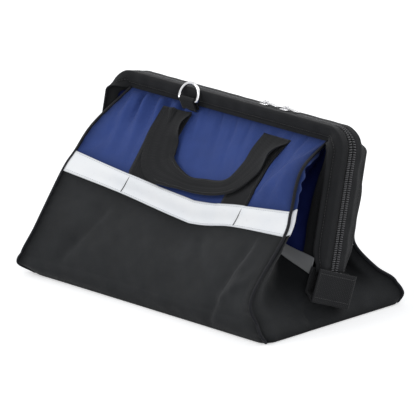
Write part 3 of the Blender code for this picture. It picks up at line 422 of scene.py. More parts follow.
def panel_grid(side, columns, rows, lift=0.0):
    """Places and outward normals of a panel's cloth, folds and all."""
    grid = on_net(panel_net(side), columns, rows)
    u, v = np.meshgrid(columns, rows)
    if side < 0:
        near_band = np.clip(1 - np.abs(v - 3.5) / 1.4, 0, 1)
        grid[..., 2] -= 0.0034 * np.exp(-np.abs(grid[..., 0] - 0.020) / 0.016) * near_band**2
    normals = grid_normals(grid) * -side
    relief = panel_relief(side, grid, u, v)
    return round_corners(grid + normals * (relief + lift)[..., None]), normals


def end_grid(side, end, columns, rows, lift=0.0):
    """The same for one half of an end."""
    grid = on_net(end_net(side, end), columns, rows)
    arm = arm_column(side, end)
    on_curve = curve_weights(len(arm), rows) @ np.array(arm)
    for row, v, place in zip(grid, rows, on_curve):
        if v > 6:  # Round the bend the cloth follows the seam closely
            stray = seam_on_arm(side, end, np.interp(v, (4, 5, 6, 7), ARM_SHARES)) - place
            row += stray * (np.clip(columns - 2, 0, 1) ** 2)[:, None]
    normals = grid_normals(grid) * -side * end
    u, v = np.meshgrid(columns, rows)
    edges = fade_from(u, 0, 0.3) * fade_from(u, 3, 0.3)
    heights = np.where(v < 3, fade_from(v, 3, 0.4) * fade_from(v, 0, 0.6), 0)
    heights += np.where(v > 4, fade_from(v, 4, 0.3) * fade_from(v, 7, 0.8), 0)
    soft = 0.0012 * unevenness(grid, 0.055, 31 + side + 2 * end) + 0.0005 * unevenness(grid, 0.022, 37)
    relief = edges * heights * soft
    flutes = np.exp(-(((u - 0.9) / 0.5) ** 2)) * fade_from(u, 0, 0.2)
    flutes *= np.where(v > 4, fade_from(v, 4, 0.8), 0) * fade_from(v, 7, 0.8)
    relief += 0.0015 * flutes * np.sin(2 * pi * grid[..., 2] / 0.014 + 1.6 * unevenness(grid, 0.03, 41))
    return round_corners(grid + normals * (relief + lift)[..., None]), normals


# ---- Making a piece ----


def piece(name, places, faces, look, uvs=None, seam=None):
    """A mesh object from places and faces, with a UV map in metres and a seam attribute: how near each place
    is to a seam, which the sheets raise to their painted shade masks.
    """
    mesh = bpy.data.meshes.new(name)
    mesh.from_pydata([tuple(p) for p in places], [], faces)
    if uvs is not None:
        layer = mesh.uv_layers.new(name="cloth")
        corners = np.zeros(len(mesh.loops), dtype=np.int32)
        mesh.loops.foreach_get("vertex_index", corners)
        layer.data.foreach_set("uv", np.asarray(uvs, dtype=np.float32)[corners].ravel())
    if seam is not None:
        mesh.attributes.new("seam", "FLOAT", "POINT").data.foreach_set("value", np.asarray(seam, np.float32))
    mesh.shade_smooth()
    mesh.materials.append(look)
    whole = bpy.data.objects.new(name, mesh)
    bpy.context.scene.collection.objects.link(whole)
    return whole


def grid_faces(rows, columns, closed, turned=False):
    """Quads of a grid; closed wraps the columns round."""
    faces = []
    for i in range(rows - 1):
        for j in range(columns if closed else columns - 1):
            k = (j + 1) % columns
            quad = (i * columns + j, i * columns + k, (i + 1) * columns + k, (i + 1) * columns + j)
            faces.append(quad[::-1] if turned else quad)
    return faces


def finish_with(thing, kind, **settings):
    """Adds a modifier and applies it."""
    step = thing.modifiers.new(kind.title(), kind)
    for name, value in settings.items():
        setattr(step, name, value)
    with bpy.context.temp_override(object=thing, active_object=thing, selected_objects=[thing]):
        bpy.ops.object.modifier_apply(modifier=step.name)


def sheet(name, grid, normals, thickness, look, edge_fade=CLOTH_EDGE, shade=0.0):
    """A closed sheet whose good side is the grid, thickened away from its normals."""
    rows, columns = grid.shape[:2]
    uvs = along_grid(grid)
    turned = (grid_normals(grid) * normals).sum() < 0
    across, up = uvs[..., 0], uvs[..., 1]
    sides = np.minimum(across - across[:, :1], across[:, -1:] - across)
    edge = np.minimum(np.minimum(up - up.min(), up[-1] - up), sides)
    # Nearness to the sheet's edges, raised to the painted shade mask where that is greater; the cloth looks
    # paint it as shade
    near = np.maximum(np.exp(-edge / edge_fade), shade)
    faces = grid_faces(rows, columns, False, turned)
    thing = piece(name, grid.reshape(-1, 3), faces, look, uvs.reshape(-1, 2), near.ravel())
    finish_with(thing, "SOLIDIFY", thickness=thickness, offset=-1.0, use_even_offset=False)
    for point in thing.data.vertices:
        point.co.z = max(point.co.z, 0.0)
    thing.data.shade_smooth()
    return thing


def wrapped(name, rings, lengths, girths, look, normals=None, near=None, capped=False):
    """A piece whose rings close round it, its faces turned the way of its normals if they are given."""
    rows, sides = rings.shape[:2]
    turned = normals is not None and (ring_normals(rings) * normals).sum() < 0
    faces = grid_faces(rows, sides, True, turned)
    if capped:
        caps = (tuple(range(sides))[::-1], tuple(range((rows - 1) * sides, rows * sides)))
        faces += [cap[::-1] if turned else cap for cap in caps]
    uvs = np.zeros((rows, sides, 2))
    uvs[..., 0], uvs[..., 1] = girths, lengths[:, None]
    seam = None if near is None else np.broadcast_to(near, (rows, sides)).ravel()
    return piece(name, rings.reshape(-1, 3), faces, look, uvs.reshape(-1, 2), seam)


def settle(thing, home, slot, *nodes):
    """Gives a piece its body, or where its home is a side, works its place and turn into its mesh; then hides
    the solids that it stands for. Its slot is not used."""
    if home in WORDS:
        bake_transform(thing)
    else:
        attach(thing, home)
    if nodes:
        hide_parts(*nodes)


# ---- Looks ----


def new_look(name, roughness, specular=0.5, sheen=0.0, metallic=0.0):
    """A material, its node tree and shader, and the piece's own coordinates in that tree."""
    look = bpy.data.materials.new(name)
    look.use_nodes = True
    shader = look.node_tree.nodes["Principled BSDF"]
    shader.inputs["Roughness"].default_value = roughness
    shader.inputs["Metallic"].default_value = metallic
    shader.inputs["Specular IOR Level"].default_value = specular
    shader.inputs["Sheen Weight"].default_value = sheen
    return look, look.node_tree, shader, node(look.node_tree, "ShaderNodeTexCoord").outputs["Object"]


def node(tree, kind, inputs=(), **settings):
    """A shader node; its inputs are values or the outputs that feed them."""
    added = tree.nodes.new(kind)
    for name, value in settings.items():
        setattr(added, name, value)
    for key, value in dict(inputs).items():
        if isinstance(value, bpy.types.NodeSocket):
            tree.links.new(value, added.inputs[key])
        else:
            added.inputs[key].default_value = value
    return added


def sums(tree, operation, first, second):
    return node(tree, "ShaderNodeMath", {0: first, 1: second}, operation=operation).outputs[0]


def bands_of(tree, coordinates, pitch, direction):
    """A wave across the cloth with the given pitch in metres."""
    inputs = {"Vector": coordinates, "Scale": 2 * pi / (20 * pitch)}
    return node(tree, "ShaderNodeTexWave", inputs, bands_direction=direction).outputs["Fac"]


def speckle(tree, coordinates, size, detail=3.0, roughness=0.6):
    inputs = {"Vector": coordinates, "Scale": 1 / size, "Detail": detail, "Roughness": roughness}
    return node(tree, "ShaderNodeTexNoise", inputs).outputs["Fac"]


def spread_between(tree, value, low, high, to_low=0.0, to_high=1.0):
    inputs = {"Value": value, "From Min": low, "From Max": high, "To Min": to_low, "To Max": to_high}
    return node(tree, "ShaderNodeMapRange", inputs).outputs["Result"]


def patches(tree, coordinates, size, detail, low, high, to_low=0.0, to_high=1.0):
    return spread_between(tree, speckle(tree, coordinates, size, detail), low, high, to_low, to_high)


def blend_colours(tree, amount, first, second):
    mix = node(tree, "ShaderNodeMix", {0: amount}, data_type="RGBA")
    for socket, value in ((mix.inputs[6], first), (mix.inputs[7], second)):
        if isinstance(value, bpy.types.NodeSocket):
            tree.links.new(value, socket)
        else:
            socket.default_value = (*value, 1.0)
    return mix.outputs[2]


def tinted(colour, factor):
    return tuple(c * factor for c in colour)


def bloomed(tree, coordinates, size, colour, shade, detail=3.0):
    """Two close tones of a colour in soft patches."""
    return blend_colours(tree, patches(tree, coordinates, size, detail, 0.35, 0.70), colour, shade)


def flat_and_seam(tree):
    """The cloth's own flat coordinates, and the seam attribute: how near a seam is, raised in places to a
    painted shade mask.
    """
    flat = node(tree, "ShaderNodeUVMap", uv_map="cloth").outputs[0]
    return flat, node(tree, "ShaderNodeAttribute", attribute_name="seam").outputs["Fac"]


def feed(tree, shader, colour, height, distance, roughness=None):
    """Gives a look's shader its colour, its bumps and, where it isn't even, its roughness."""
    tree.links.new(colour, shader.inputs["Base Color"])
    if roughness:
        tree.links.new(roughness, shader.inputs["Roughness"])
    bump = node(tree, "ShaderNodeBump", {"Strength": 1.0, "Distance": distance, "Height": height})
    tree.links.new(bump.outputs["Normal"], shader.inputs["Normal"])


def cloth_look(name, colour, shade, pitch, roughness, sheen, specular):
    """Woven cloth: crossing threads, faint slubs and a paler bloom. Painted shade darkens it between the
    threads, near seams and in the painted shade masks that the seam attribute carries, where its shine is
    lessened too.
    """
    look, tree, shader, solid = new_look(name, roughness, specular, sheen)
    flat, seam = flat_and_seam(tree)
    threads = sums(tree, "MAXIMUM", bands_of(tree, flat, pitch, "X"), bands_of(tree, flat, pitch, "Y"))
    base = bloomed(tree, solid, 0.05, colour, shade)
    slubs = patches(tree, solid, 0.0022, 2.0, 0.60, 0.80, 0.0, 0.30)
    lit = blend_colours(tree, slubs, base, tuple(min(1.0, c * 1.7 + 0.004) for c in colour))
    # Painted shade: darker colour and less shine near seams and in the painted shade masks
    with_painted_shade = blend_colours(tree, sums(tree, "MULTIPLY", seam, 0.85), lit, tinted(colour, 0.22))
    shine = spread_between(tree, seam, 0.0, 1.0, specular, specular * 0.2)
    tree.links.new(shine, shader.inputs["Specular IOR Level"])
    # Painted shade between the threads
    between = sums(tree, "MULTIPLY", sums(tree, "SUBTRACT", 1.0, threads), 0.22)
    woven = blend_colours(tree, between, with_painted_shade, tinted(colour, 0.4))
    worn = patches(tree, solid, 0.018, 4.0, 0.3, 0.75, roughness - 0.06, roughness + 0.08)
    height = sums(tree, "ADD", threads, sums(tree, "MULTIPLY", speckle(tree, solid, 0.0030), 1.5))
    feed(tree, shader, woven, height, 0.00012, worn)
    return look


def webbing_look(name, colour, shade, pitch=0.0019):
    """Heavy ribbed webbing: ribs across, a herringbone along and lighter rubbed edges."""
    look, tree, shader, solid = new_look(name, 0.75, 0.16, 0.08)
    flat, seam = flat_and_seam(tree)
    ribs = sums(tree, "MULTIPLY", bands_of(tree, flat, pitch, "Y"), bands_of(tree, flat, pitch * 1.6, "X"))
    slant = bands_of(tree, flat, pitch * 0.9, "DIAGONAL")
    weave = sums(tree, "ADD", ribs, sums(tree, "MULTIPLY", slant, 0.5))
    base = bloomed(tree, solid, 0.025, colour, shade)
    rubbed = blend_colours(tree, sums(tree, "MULTIPLY", seam, 0.25), base, tinted(colour, 1.9))
    # Painted shade in the hollows of the weave
    hollows = spread_between(tree, weave, 0.0, 0.9, 0.45, 0.0)
    feed(tree, shader, blend_colours(tree, hollows, rubbed, tinted(colour, 0.35)), weave, 0.00030)
    return look


def tape_look(name, tone):
    """Silver-white reflective tape: a close grain of beads and a faint stitched border. A tone below 1
    darkens its colour and its shine, as painted shade for tape deep in a fold.
    """
    look, tree, shader, solid = new_look(name, 0.42, 0.5 * tone)
    flat, seam = flat_and_seam(tree)
    beads = node(tree, "ShaderNodeTexVoronoi", {"Vector": flat, "Scale": 1500.0}).outputs["Distance"]
    base = bloomed(tree, solid, 0.05, (0.93, 0.94, 0.95), (0.87, 0.89, 0.92), 2.0)
    smudge = spread_between(tree, speckle(tree, solid, 0.006, 5.0, 0.7), 0.58, 0.80, 0.0, 0.28)
    soiled = blend_colours(tree, smudge, base, (0.58, 0.60, 0.63))
    edged = blend_colours(tree, sums(tree, "MULTIPLY", seam, 0.30), soiled, (0.50, 0.53, 0.58))
    # Painted shade: 1 - tone of the way toward black
    tape_with_painted_shade = blend_colours(tree, 1 - tone, edged, (0.0, 0.0, 0.0))
    rough = patches(tree, solid, 0.012, 3.0, 0.3, 0.7, 0.36, 0.52)
    feed(tree, shader, tape_with_painted_shade, beads, 0.00008, rough)
    return look


def metal_look(name, colour, roughness, marks):
    """Plated or bare steel with faint polishing marks, dulled in patches."""
    look, tree, shader, solid = new_look(name, roughness, metallic=1.0)
    dull = patches(tree, solid, 0.006, 4.0, 0.35, 0.75)
    tone = blend_colours(tree, dull, colour, tinted(colour, 0.78))
    rough = patches(tree, solid, 0.003, 4.0, 0.3, 0.8, roughness * 0.7, roughness * 1.6)
    stretched = node(tree, "ShaderNodeMapping", {"Vector": solid, "Scale": (1.0, 12.0, 12.0)}).outputs[0]
    feed(tree, shader, tone, speckle(tree, stretched, 0.004, 2.0), marks, rough)
    return look


def thread_look(name, colour):
    look, tree, shader, solid = new_look(name, 0.6, sheen=0.2)
    twist = bands_of(tree, solid, 0.0006, "DIAGONAL")
    # Painted shade in the grooves of the twist
    feed(tree, shader, blend_colours(tree, twist, tinted(colour, 0.6), colour), twist, 0.00008)
    return look


def moulded_look(name, colour, roughness):
    look, tree, shader, solid = new_look(name, roughness)
    grain = speckle(tree, solid, 0.0012)
    tone = blend_colours(tree, spread_between(tree, grain, 0.3, 0.75), colour, tinted(colour, 1.5))
    feed(tree, shader, tone, grain, 0.00006)
    return look


# Cloths: colour, shade, thread pitch, roughness, sheen, shine
BLACK_CLOTH = cloth_look(
    "black_polyester", (0.013, 0.0145, 0.0165), (0.01, 0.011, 0.0125), 0.00085, 0.62, 0.08, 0.2
)
BLUE_CLOTH = cloth_look(
    "blue_polyester", (0.034, 0.069, 0.26), (0.027, 0.056, 0.215), 0.0007, 0.58, 0.05, 0.2
)
# The blue cloth darkened as painted shade, for the inside of an end's fold
SHADED_BLUE_CLOTH = cloth_look(
    "blue_polyester_painted_shade", (0.012, 0.02, 0.115), (0.009, 0.015, 0.085), 0.0007, 0.66, 0.0, 0.1
)
SLEEVE_CLOTH = cloth_look(
    "black_sleeve_cloth", (0.013, 0.0135, 0.015), (0.01, 0.0105, 0.012), 0.0008, 0.7, 0.06, 0.15
)
PIPING = cloth_look("black_piping", (0.007, 0.0075, 0.011), (0.0055, 0.006, 0.0085), 0.001, 0.45, 0.0, 0.2)
BLACK_WEBBING = webbing_look("black_webbing", (0.012, 0.0125, 0.014), (0.0095, 0.01, 0.0115))
ZIP_CLOTH = webbing_look("black_zip_cloth", (0.01, 0.0105, 0.0115), (0.008, 0.0085, 0.0095), 0.0009)
# The second tape is the first darkened as painted shade, for the band deep in an end's fold
TAPE, SHADED_FOLD_TAPE = tape_look("reflective_tape", 1.0), tape_look("reflective_tape_painted_shade", 0.20)
COIL = moulded_look("black_nylon_coil", (0.060, 0.060, 0.064), 0.26)
CHROME = metal_look("bright_chrome", (0.82, 0.82, 0.84), 0.10, 0.00003)
STEEL = metal_look("bare_steel", (0.46, 0.46, 0.47), 0.32, 0.00008)
BOARD = moulded_look("grey_board", (0.085, 0.085, 0.085), 0.80)
BLACK_THREAD = thread_look("black_thread", (0.015, 0.015, 0.017))
PALE_THREAD = thread_look("pale_thread", (0.52, 0.54, 0.57))


# ---- Stitches ----


def stitch_shape():
    """One stitch, 1 long along x: a small bead of thread."""
    turns = np.arange(6) * pi / 3
    profile = ((-0.5, 0.2), (-0.3, 0.5), (0.3, 0.5), (0.5, 0.2))
    rings = [[(x, r * cos(a), r * sin(a)) for a in turns] for x, r in profile]
    faces = grid_faces(4, 6, closed=True)
    return np.array(rings).reshape(-1, 3), faces + [tuple(range(6))[::-1], tuple(range(18, 24))]


def take_shape(thing):
    """The places and faces of a shape made to be copied; the shape itself goes."""
    mesh = thing.data
    places = np.array([v.co for v in mesh.vertices])
    faces = [tuple(f.vertices) for f in mesh.polygons]
    bpy.data.objects.remove(thing, do_unlink=True)
    return places, faces


def copies(name, shape, frames, look):
    """One piece of many copies of a shape, each at a centre with its own three axes."""
    places, faces = shape
    spots, all_faces = [], []
    for count, (centre, x_axis, y_axis, z_axis) in enumerate(frames):
        spots.append(centre + places @ np.array((x_axis, y_axis, z_axis)))
        offset = count * len(places)
        all_faces += [tuple(k + offset for k in face) for face in faces]
    return piece(name, np.concatenate(spots), all_faces, look)


def evenly(line, normals, pitch):
    """Places at even steps along a line, with the way ahead and the normal there."""
    lengths = lengths_along(line)
    count = max(int(lengths[-1] / pitch), 1)
    marks = (np.arange(count) + 0.5) * lengths[-1] / count
    at, out = at_marks(line, lengths, marks), at_marks(normals, lengths, marks)
    ahead = unit(at_marks(line, lengths, marks + pitch / 10) - at_marks(line, lengths, marks - pitch / 10))
    return at, ahead, unit(out - ahead * (out * ahead).sum(axis=1, keepdims=True))


STITCH = stitch_shape()


def stitches(name, home, lines, look=BLACK_THREAD, pitch=0.0034, length=0.0026, width=0.0006):
    """Rows of stitches lying on the cloth along lines of places and normals."""
    frames = []
    for line, normals in lines:
        at, ahead, out = evenly(np.asarray(line), np.asarray(normals), pitch)
        for centre, way, up in zip(at, ahead, out):
            across = np.cross(up, way)
            frames.append((centre + up * width * 0.10, way * length, across * width, up * width))
    settle(copies(name, STITCH, frames, look), home, "white_tape" if look == PALE_THREAD else "black_webbing")


# ---- Panels and ends ----


COLUMNS = np.linspace(0.014, 3.986, 150)
FOOT_ROWS, BAND_ROWS = np.linspace(0, 3.10, 64), np.linspace(3, 4, 18)


def make_panels():
    """The front and the back: lower cloth, reflective band and upper cloth, with the band's stitches."""
    for side, word in WORDS.items():
        grid, normals = panel_grid(side, COLUMNS, np.linspace(0, 3.10, 84))
        grid[0, :, 2] = FLOOR_GAP
        lower = sheet(f"{word}_lower_cloth", grid, normals, CLOTH_THICKNESS, BLACK_CLOTH)
        settle(lower, "bag", "black_cloth", f"{word}_lower_panel")
        grid, normals = panel_grid(side, COLUMNS, BAND_ROWS, TAPE_LIFT)
        beside = np.abs(grid[..., :1] - HANDLE_CENTRE - LEG_FOOT_SPREAD * np.array((-1, 1)))
        over_leg = np.clip((WEBBING_WIDTH / 2 + 0.003 - beside) / 0.003, 0, 1).sum(axis=2)
        grid += normals * (0.0013 * over_leg * (np.linspace(0, 1, 18) ** 3)[:, None])[..., None]
        tape = sheet(f"{word}_reflective_band", grid, normals, TAPE_THICKNESS, TAPE, TAPE_EDGE)
        settle(tape, "bag", "white_tape", f"{word}_band")
        rows = [(grid[k], normals[k]) for k in (1, -2)]
        stitches(f"{word}_band_stitches", "bag", rows, PALE_THREAD, 0.0030, 0.0022, 0.00045)
        rows = np.linspace(3.90, 5.985, 84)
        grid, normals = panel_grid(side, COLUMNS, rows)
        # Painted shadow under the sleeve's edge, deepest in the hollows of the gathers
        shade = np.clip(np.exp(-(6 - rows[:, None]) / 0.16) * (0.45 - 0.95 * gathers(grid)), 0, 1)
        upper = sheet(f"{word}_upper_cloth", grid, normals, 0.0016, BLUE_CLOTH, shade=shade)
        settle(upper, side, "blue_cloth", f"{word}_upper_panel")
        ties = []
        for hand in (-1, 1):
            x = HANDLE_CENTRE + hand * (LEG_FOOT_SPREAD + WEBBING_WIDTH / 2 - 0.001)
            pairs = [leg_place(side, x - 0.0095 * (3.98 - v), v, 0.0013) for v in np.linspace(3.04, 3.98, 10)]
            ties.append(tuple(np.array(pairs).transpose(1, 0, 2)))
        stitches(f"{word}_band_tacks", "bag", ties, BLACK_THREAD, 0.0021, 0.0023, 0.0010)


def column_at(side, x, v):
    """Where along a row the panel reaches x."""
    columns = np.linspace(0, 4, 161)
    return float(np.interp(x, on_net(panel_net(side), columns, [v])[0, :, 0], columns))


def around(u, v):
    """The columns and rows of a small patch round a place on a panel."""
    return [max(u - 0.02, 0), u, min(u + 0.02, 4)], [v - 0.02, v, min(v + 0.02, 6)]


def leg_place(side, x, v, lift):
    """A place and the outward normal on a panel at x and row v."""
    grid, _ = panel_grid(side, *around(column_at(side, x, v), v))
    normal = grid_normals(grid)[1, 1] * -side
    return grid[1, 1] + normal * lift, normal


# An end's band and flap from the piping to the jaw's arm: where they show, on into the fold, and the flap's
# black facing. In the fold the band and flap take darkened copies of their looks, as painted shade.
# Each: the columns it covers, its look and slot, and the solid that it stands for
END_PARTS = (
    ("band", -0.1, 1.17, TAPE, "white_tape", ("gusset_band",)),
    ("fold_band", 1.10, 3.1, SHADED_FOLD_TAPE, "white_tape", ()),
    ("flap", -0.1, 1.17, BLUE_CLOTH, "blue_cloth", ("gusset_flap",)),
    ("flap_fold", 1.10, 2.72, SHADED_BLUE_CLOTH, "blue_cloth", ()),
    ("facing", 2.66, 3.1, SLEEVE_CLOTH, "black_webbing", ()),
)


def bridged(near, far):
    """An end's two halves, each from its corner inward, with even steps over the gap between them."""
    gap = np.linspace(0, 1, 14)[1:-1, None]
    middle = near[:, -1:] * (1 - gap) + far[:, -1:] * gap
    return np.concatenate((near, middle, far[:, ::-1]), axis=1)


def make_ends():
    """The two ends: bands, flaps and piping on each side, and the lower cloth from side to side."""
    across = np.linspace(0, 3, 85)
    for end, place in PLACES.items():
        halves = []
        for side, word in WORDS.items():
            halves.append(end_grid(side, end, across, FOOT_ROWS))
            band = end_grid(side, end, across, BAND_ROWS, TAPE_LIFT)
            flap = end_grid(side, end, across, np.linspace(3.90, 6.95, 86))
            for part, near, far, look, slot, solids in END_PARTS:
                (grid, normals), fade = (band, TAPE_EDGE) if slot == "white_tape" else (flap, CLOTH_EDGE)
                kept = (across > near) & (across < far)
                name = f"{place}_{word}_end_{part}"
                cloth = sheet(name, grid[:, kept], normals[:, kept], TAPE_THICKNESS, look, fade)
                settle(cloth, side, slot, *(f"{place}_{word}_{solid}" for solid in solids))
            make_piping(side, end)
        (near, near_out), (far, far_out) = halves
        grid, normals = bridged(near, far), bridged(near_out, far_out)
        grid[0, :, 2] = FLOOR_GAP
        # Painted shade on the end's lower cloth, under the fold above it
        height, inward = (FOOT_ROWS[:, None] - 0.9) / 1.5, (across - 0.95) / 0.6
        under_fold_shade = (eased(np.clip(height, 0, 1)) * eased(np.clip(inward, 0, 1)) * 0.95)[..., None]
        shade = bridged(under_fold_shade, under_fold_shade)[..., 0]
        lower = sheet(f"{place}_lower_end_cloth", grid, normals, CLOTH_THICKNESS, BLACK_CLOTH, shade=shade)
        settle(lower, "bag", "black_cloth", f"{place}_lower_gusset")


def make_piping(side, end):
    """The round cord down one of the bag's corners."""
    name, radius = f"{PLACES[end]}_{WORDS[side]}", 0.0019
    outward = np.array((end, side, 0.0)) / 2**0.5
    column = 0 if end < 0 else len(SEAM_COLUMNS) - 1
    corner = on_net(panel_net(side), [column], np.linspace(0.02, 5.995, 150))[:, 0]
    line = round_corners(corner + outward * 0.0004)
    line[:, 2] = np.maximum(line[:, 2], 0.0022)
    ahead = unit(np.gradient(line, axis=0))
    across = unit(np.cross(ahead, outward))
    turns = np.arange(14) * 2 * pi / 14
    c, s = np.cos(turns)[:, None], np.sin(turns)[:, None]
    rings = line[:, None] + (across[:, None] * c + np.cross(across, ahead)[:, None] * s) * radius
    lengths = lengths_along(line)
    cord = wrapped(f"{name}_corner_piping", rings, lengths, turns * radius, PIPING, capped=True)
    settle(cord, side, "black_piping", f"{name}_piping")


# ---- Sleeves and zip ----


def sleeve_ring(side, station, count):
    """A section round the bar: from its flat head over one side to the sewn edge and back."""
    _, x, r, inward, turn = station
    centre = jaw_point(x, r, side * BAR_OFFSET)
    flap = flap_direction(side, inward, turn)
    across = unit(np.cross(flap, np.cross(inward, BACK)))
    deep = SLEEVE_HALF_THICKNESS + (SLEEVE_CROWNS[side] - SLEEVE_HALF_THICKNESS) * eased(turn)
    flat_deep, flat_wide = deep - SLEEVE_ROUNDING, SLEEVE_HALF_WIDTH - SLEEVE_ROUNDING
    tip = centre + flap * sewn_width(turn) * foot_share(r - SLEEVE_START)
    ring = []
    for a in np.linspace(pi, 3 * pi, 97):
        way = flap * cos(a) + across * sin(a)
        i, n = way @ inward, way @ BACK
        head = centre + inward * (flat_deep * tanh(i * 8) + SLEEVE_ROUNDING * i)
        head += BACK * (flat_wide * tanh(n * 8) + SLEEVE_ROUNDING * n)
        edge = tip + way * SLEEVE_EDGE
        ring.append(head if (head - edge) @ way > 0 else edge)
    ring = np.array(ring)
    steps = lengths_along(ring)
    return at_marks(ring, steps, np.linspace(0, steps[-1], count + 1)[:-1])


def make_sleeve(side):
    """The cloth round a jaw's bar, a little wrinkled, and its line of stitches."""
    word, count, seam_share = WORDS[side], 44, 0.74
    stations = jaw_stations(SLEEVE_START, 300)
    grid = np.array([sleeve_ring(side, station, count) for station in stations])
    normals = ring_normals(grid)
    middle = grid.mean(axis=1, keepdims=True)
    normals *= np.where(((grid - middle) * normals).sum(axis=2, keepdims=True) < 0, -1, 1)
    share = np.minimum(np.arange(count), count - np.arange(count)) / (count / 2)
    length = np.array([station[0] for station in stations])
    wrinkle = np.sin(2 * pi * length / 0.031 + 2.0 * np.sin(2 * pi * length / 0.17))[:, None]
    relief = np.sin(pi * share) ** 2 * (0.00035 * wrinkle + 0.0005 * unevenness(grid, 0.040, 51 + side))
    relief -= 0.0004 * np.exp(-(((share - seam_share) / 0.03) ** 2))
    grid = grid + normals * relief[..., None]
    # Nearness to the line of stitches, which the sleeve cloth's look paints darker as painted shade
    near = np.exp(-np.abs(share - seam_share) / 0.05)
    girths = np.arange(count) * 0.0012
    cloth = wrapped(f"{word}_sleeve_cloth", grid, length, girths, SLEEVE_CLOTH, normals, near)
    finish_with(cloth, "SOLIDIFY", thickness=0.0009, offset=-1.0)
    cloth.data.shade_smooth()
    settle(cloth, f"{word}_jaw", "black_webbing", f"{word}_sleeve")
    k = round(count * seam_share / 2)
    spots, outs = [], []
    for ring, normal in zip(grid, normals):
        outer = max((k, count - k), key=lambda m: ring[m] @ (BACK * side))
        spots.append(ring[outer])
        outs.append(normal[outer])
    stitches(f"{word}_sleeve_stitches", f"{word}_jaw", [(spots, outs)], BLACK_THREAD, 0.0036, 0.0027, 0.0007)


def make_zip(side, tooth):
    """One side of the zip: its tape, its row of teeth and its two rows of stitches."""
    word, jaw = WORDS[side], f"{WORDS[side]}_jaw"
    stations = jaw_stations(ZIP_START, 420)
    marks = np.linspace(0.00005, ZIP_HALF_WIDTH + 0.0012, 6)
    drops = 0.0007 + 0.0003 * np.linspace(0, 1, 6) ** 2
    grid, normals = [], []
    for _, x, r, inward, _ in stations:
        grid.append([jaw_point(x, r, side * n) - inward * drop for n, drop in zip(marks, drops)])
        normals.append([-inward] * len(marks))
    cloth = sheet(f"{word}_zip_cloth", np.array(grid), np.array(normals), 0.0006, ZIP_CLOTH, 0.001)
    settle(cloth, jaw, "black_webbing", f"{word}_zip_tape")
    frames = []
    for _, x, r, inward, turn in jaw_stations(ZIP_START, int(stations[-1][0] / 0.0027)):
        ahead, down_arm = np.cross(inward, BACK), 1 - eased(turn)
        long = 0.0024 + 0.0030 * down_arm
        centre = jaw_point(x, r, side * (COIL_GAP + long / 2)) - inward * (0.0022 + 0.0022 * down_arm)
        frames.append((centre, (BACK * side + ahead * 0.12) * long, ahead * 0.0015, -inward * 0.0020))
    settle(copies(f"{word}_zip_teeth", tooth, frames, COIL), jaw, "zip_coil", f"{word}_zip_coil")
    lines = []
    for n in (COIL_GAP + 0.0029, ZIP_HALF_WIDTH - 0.0002):
        spots = [jaw_point(x, r, side * n) - inward * 0.0010 for _, x, r, inward, _ in stations]
        lines.append((spots, [-inward for _, _, _, inward, _ in stations]))
    stitches(f"{word}_zip_stitches", jaw, lines, BLACK_THREAD, 0.0026, 0.0020, 0.00045)


def tooth_shape():
    """One turn of the zip's coil: a block with rounded edges, 1 along each axis."""
    bpy.ops.mesh.primitive_cube_add(size=1)
    thing = bpy.context.active_object
    bpy.ops.object.mode_set(mode="EDIT")
    bpy.ops.mesh.select_all(action="SELECT")
    bpy.ops.mesh.bevel(offset=0.24, segments=1, affect="EDGES")
    bpy.ops.object.mode_set(mode="OBJECT")
    return take_shape(thing)


# ---- Webbing ----


# Down each half of the loop: the share of the way out to its leg, how far it hangs, its share of the width
HANDLE_SHARES = {
    -1: ((1.0, 0.0, 1.06), (0.94, 0.30, 1.06), (0.94, 0.62, 1.06), (0.80, 0.92, 0.96)),
    1: ((1.0, 0.0, 1.06), (0.94, 0.28, 1.03), (0.78, 0.56, 0.88), (0.42, 0.83, 0.66)),
}


def handle_stations(side, count):
    """Along the loop from leg to leg: its centre, the panel's outward normal, its width and thickness, how
    far it is folded and how far it hangs down."""
    leg = HANDLE_SPREAD - GRIP_HALF_LENGTH
    halves = {}
    for end, shares in HANDLE_SHARES.items():
        halves[end] = [(end * (GRIP_HALF_LENGTH + leg * x), drop, WEBBING_WIDTH * w) for x, drop, w in shares]
        halves[end].append((end * GRIP_HALF_LENGTH, 0.99 - 0.03 * end, GRIP_WIDTH))
    points = np.array((*halves[-1], (0.0, 1.0, GRIP_WIDTH), *reversed(halves[1])))
    path = curve_weights(len(points), np.linspace(0, len(points) - 1, count)) @ points
    net = panel_net(side, tucked=False)
    stations = []
    for x, drop, width in path:
        v = 5.80 - 1.48 * drop
        patch = on_net(net, *around(column_at(side, HANDLE_CENTRE + x + 0.020 * drop * drop, v), v))
        out = grid_normals(patch)[1, 1] * -side
        folded = min(max((WEBBING_WIDTH - width) / (WEBBING_WIDTH - GRIP_WIDTH), 0), 1)
        thick = WEBBING + (GRIP_THICKNESS - WEBBING) * folded
        lift = 0.0038 + 0.0012 * min(drop / 0.28, 1)
        stations.append((patch[1, 1] + out * (lift + thick / 2), out, width, thick, folded, drop))
    return stations


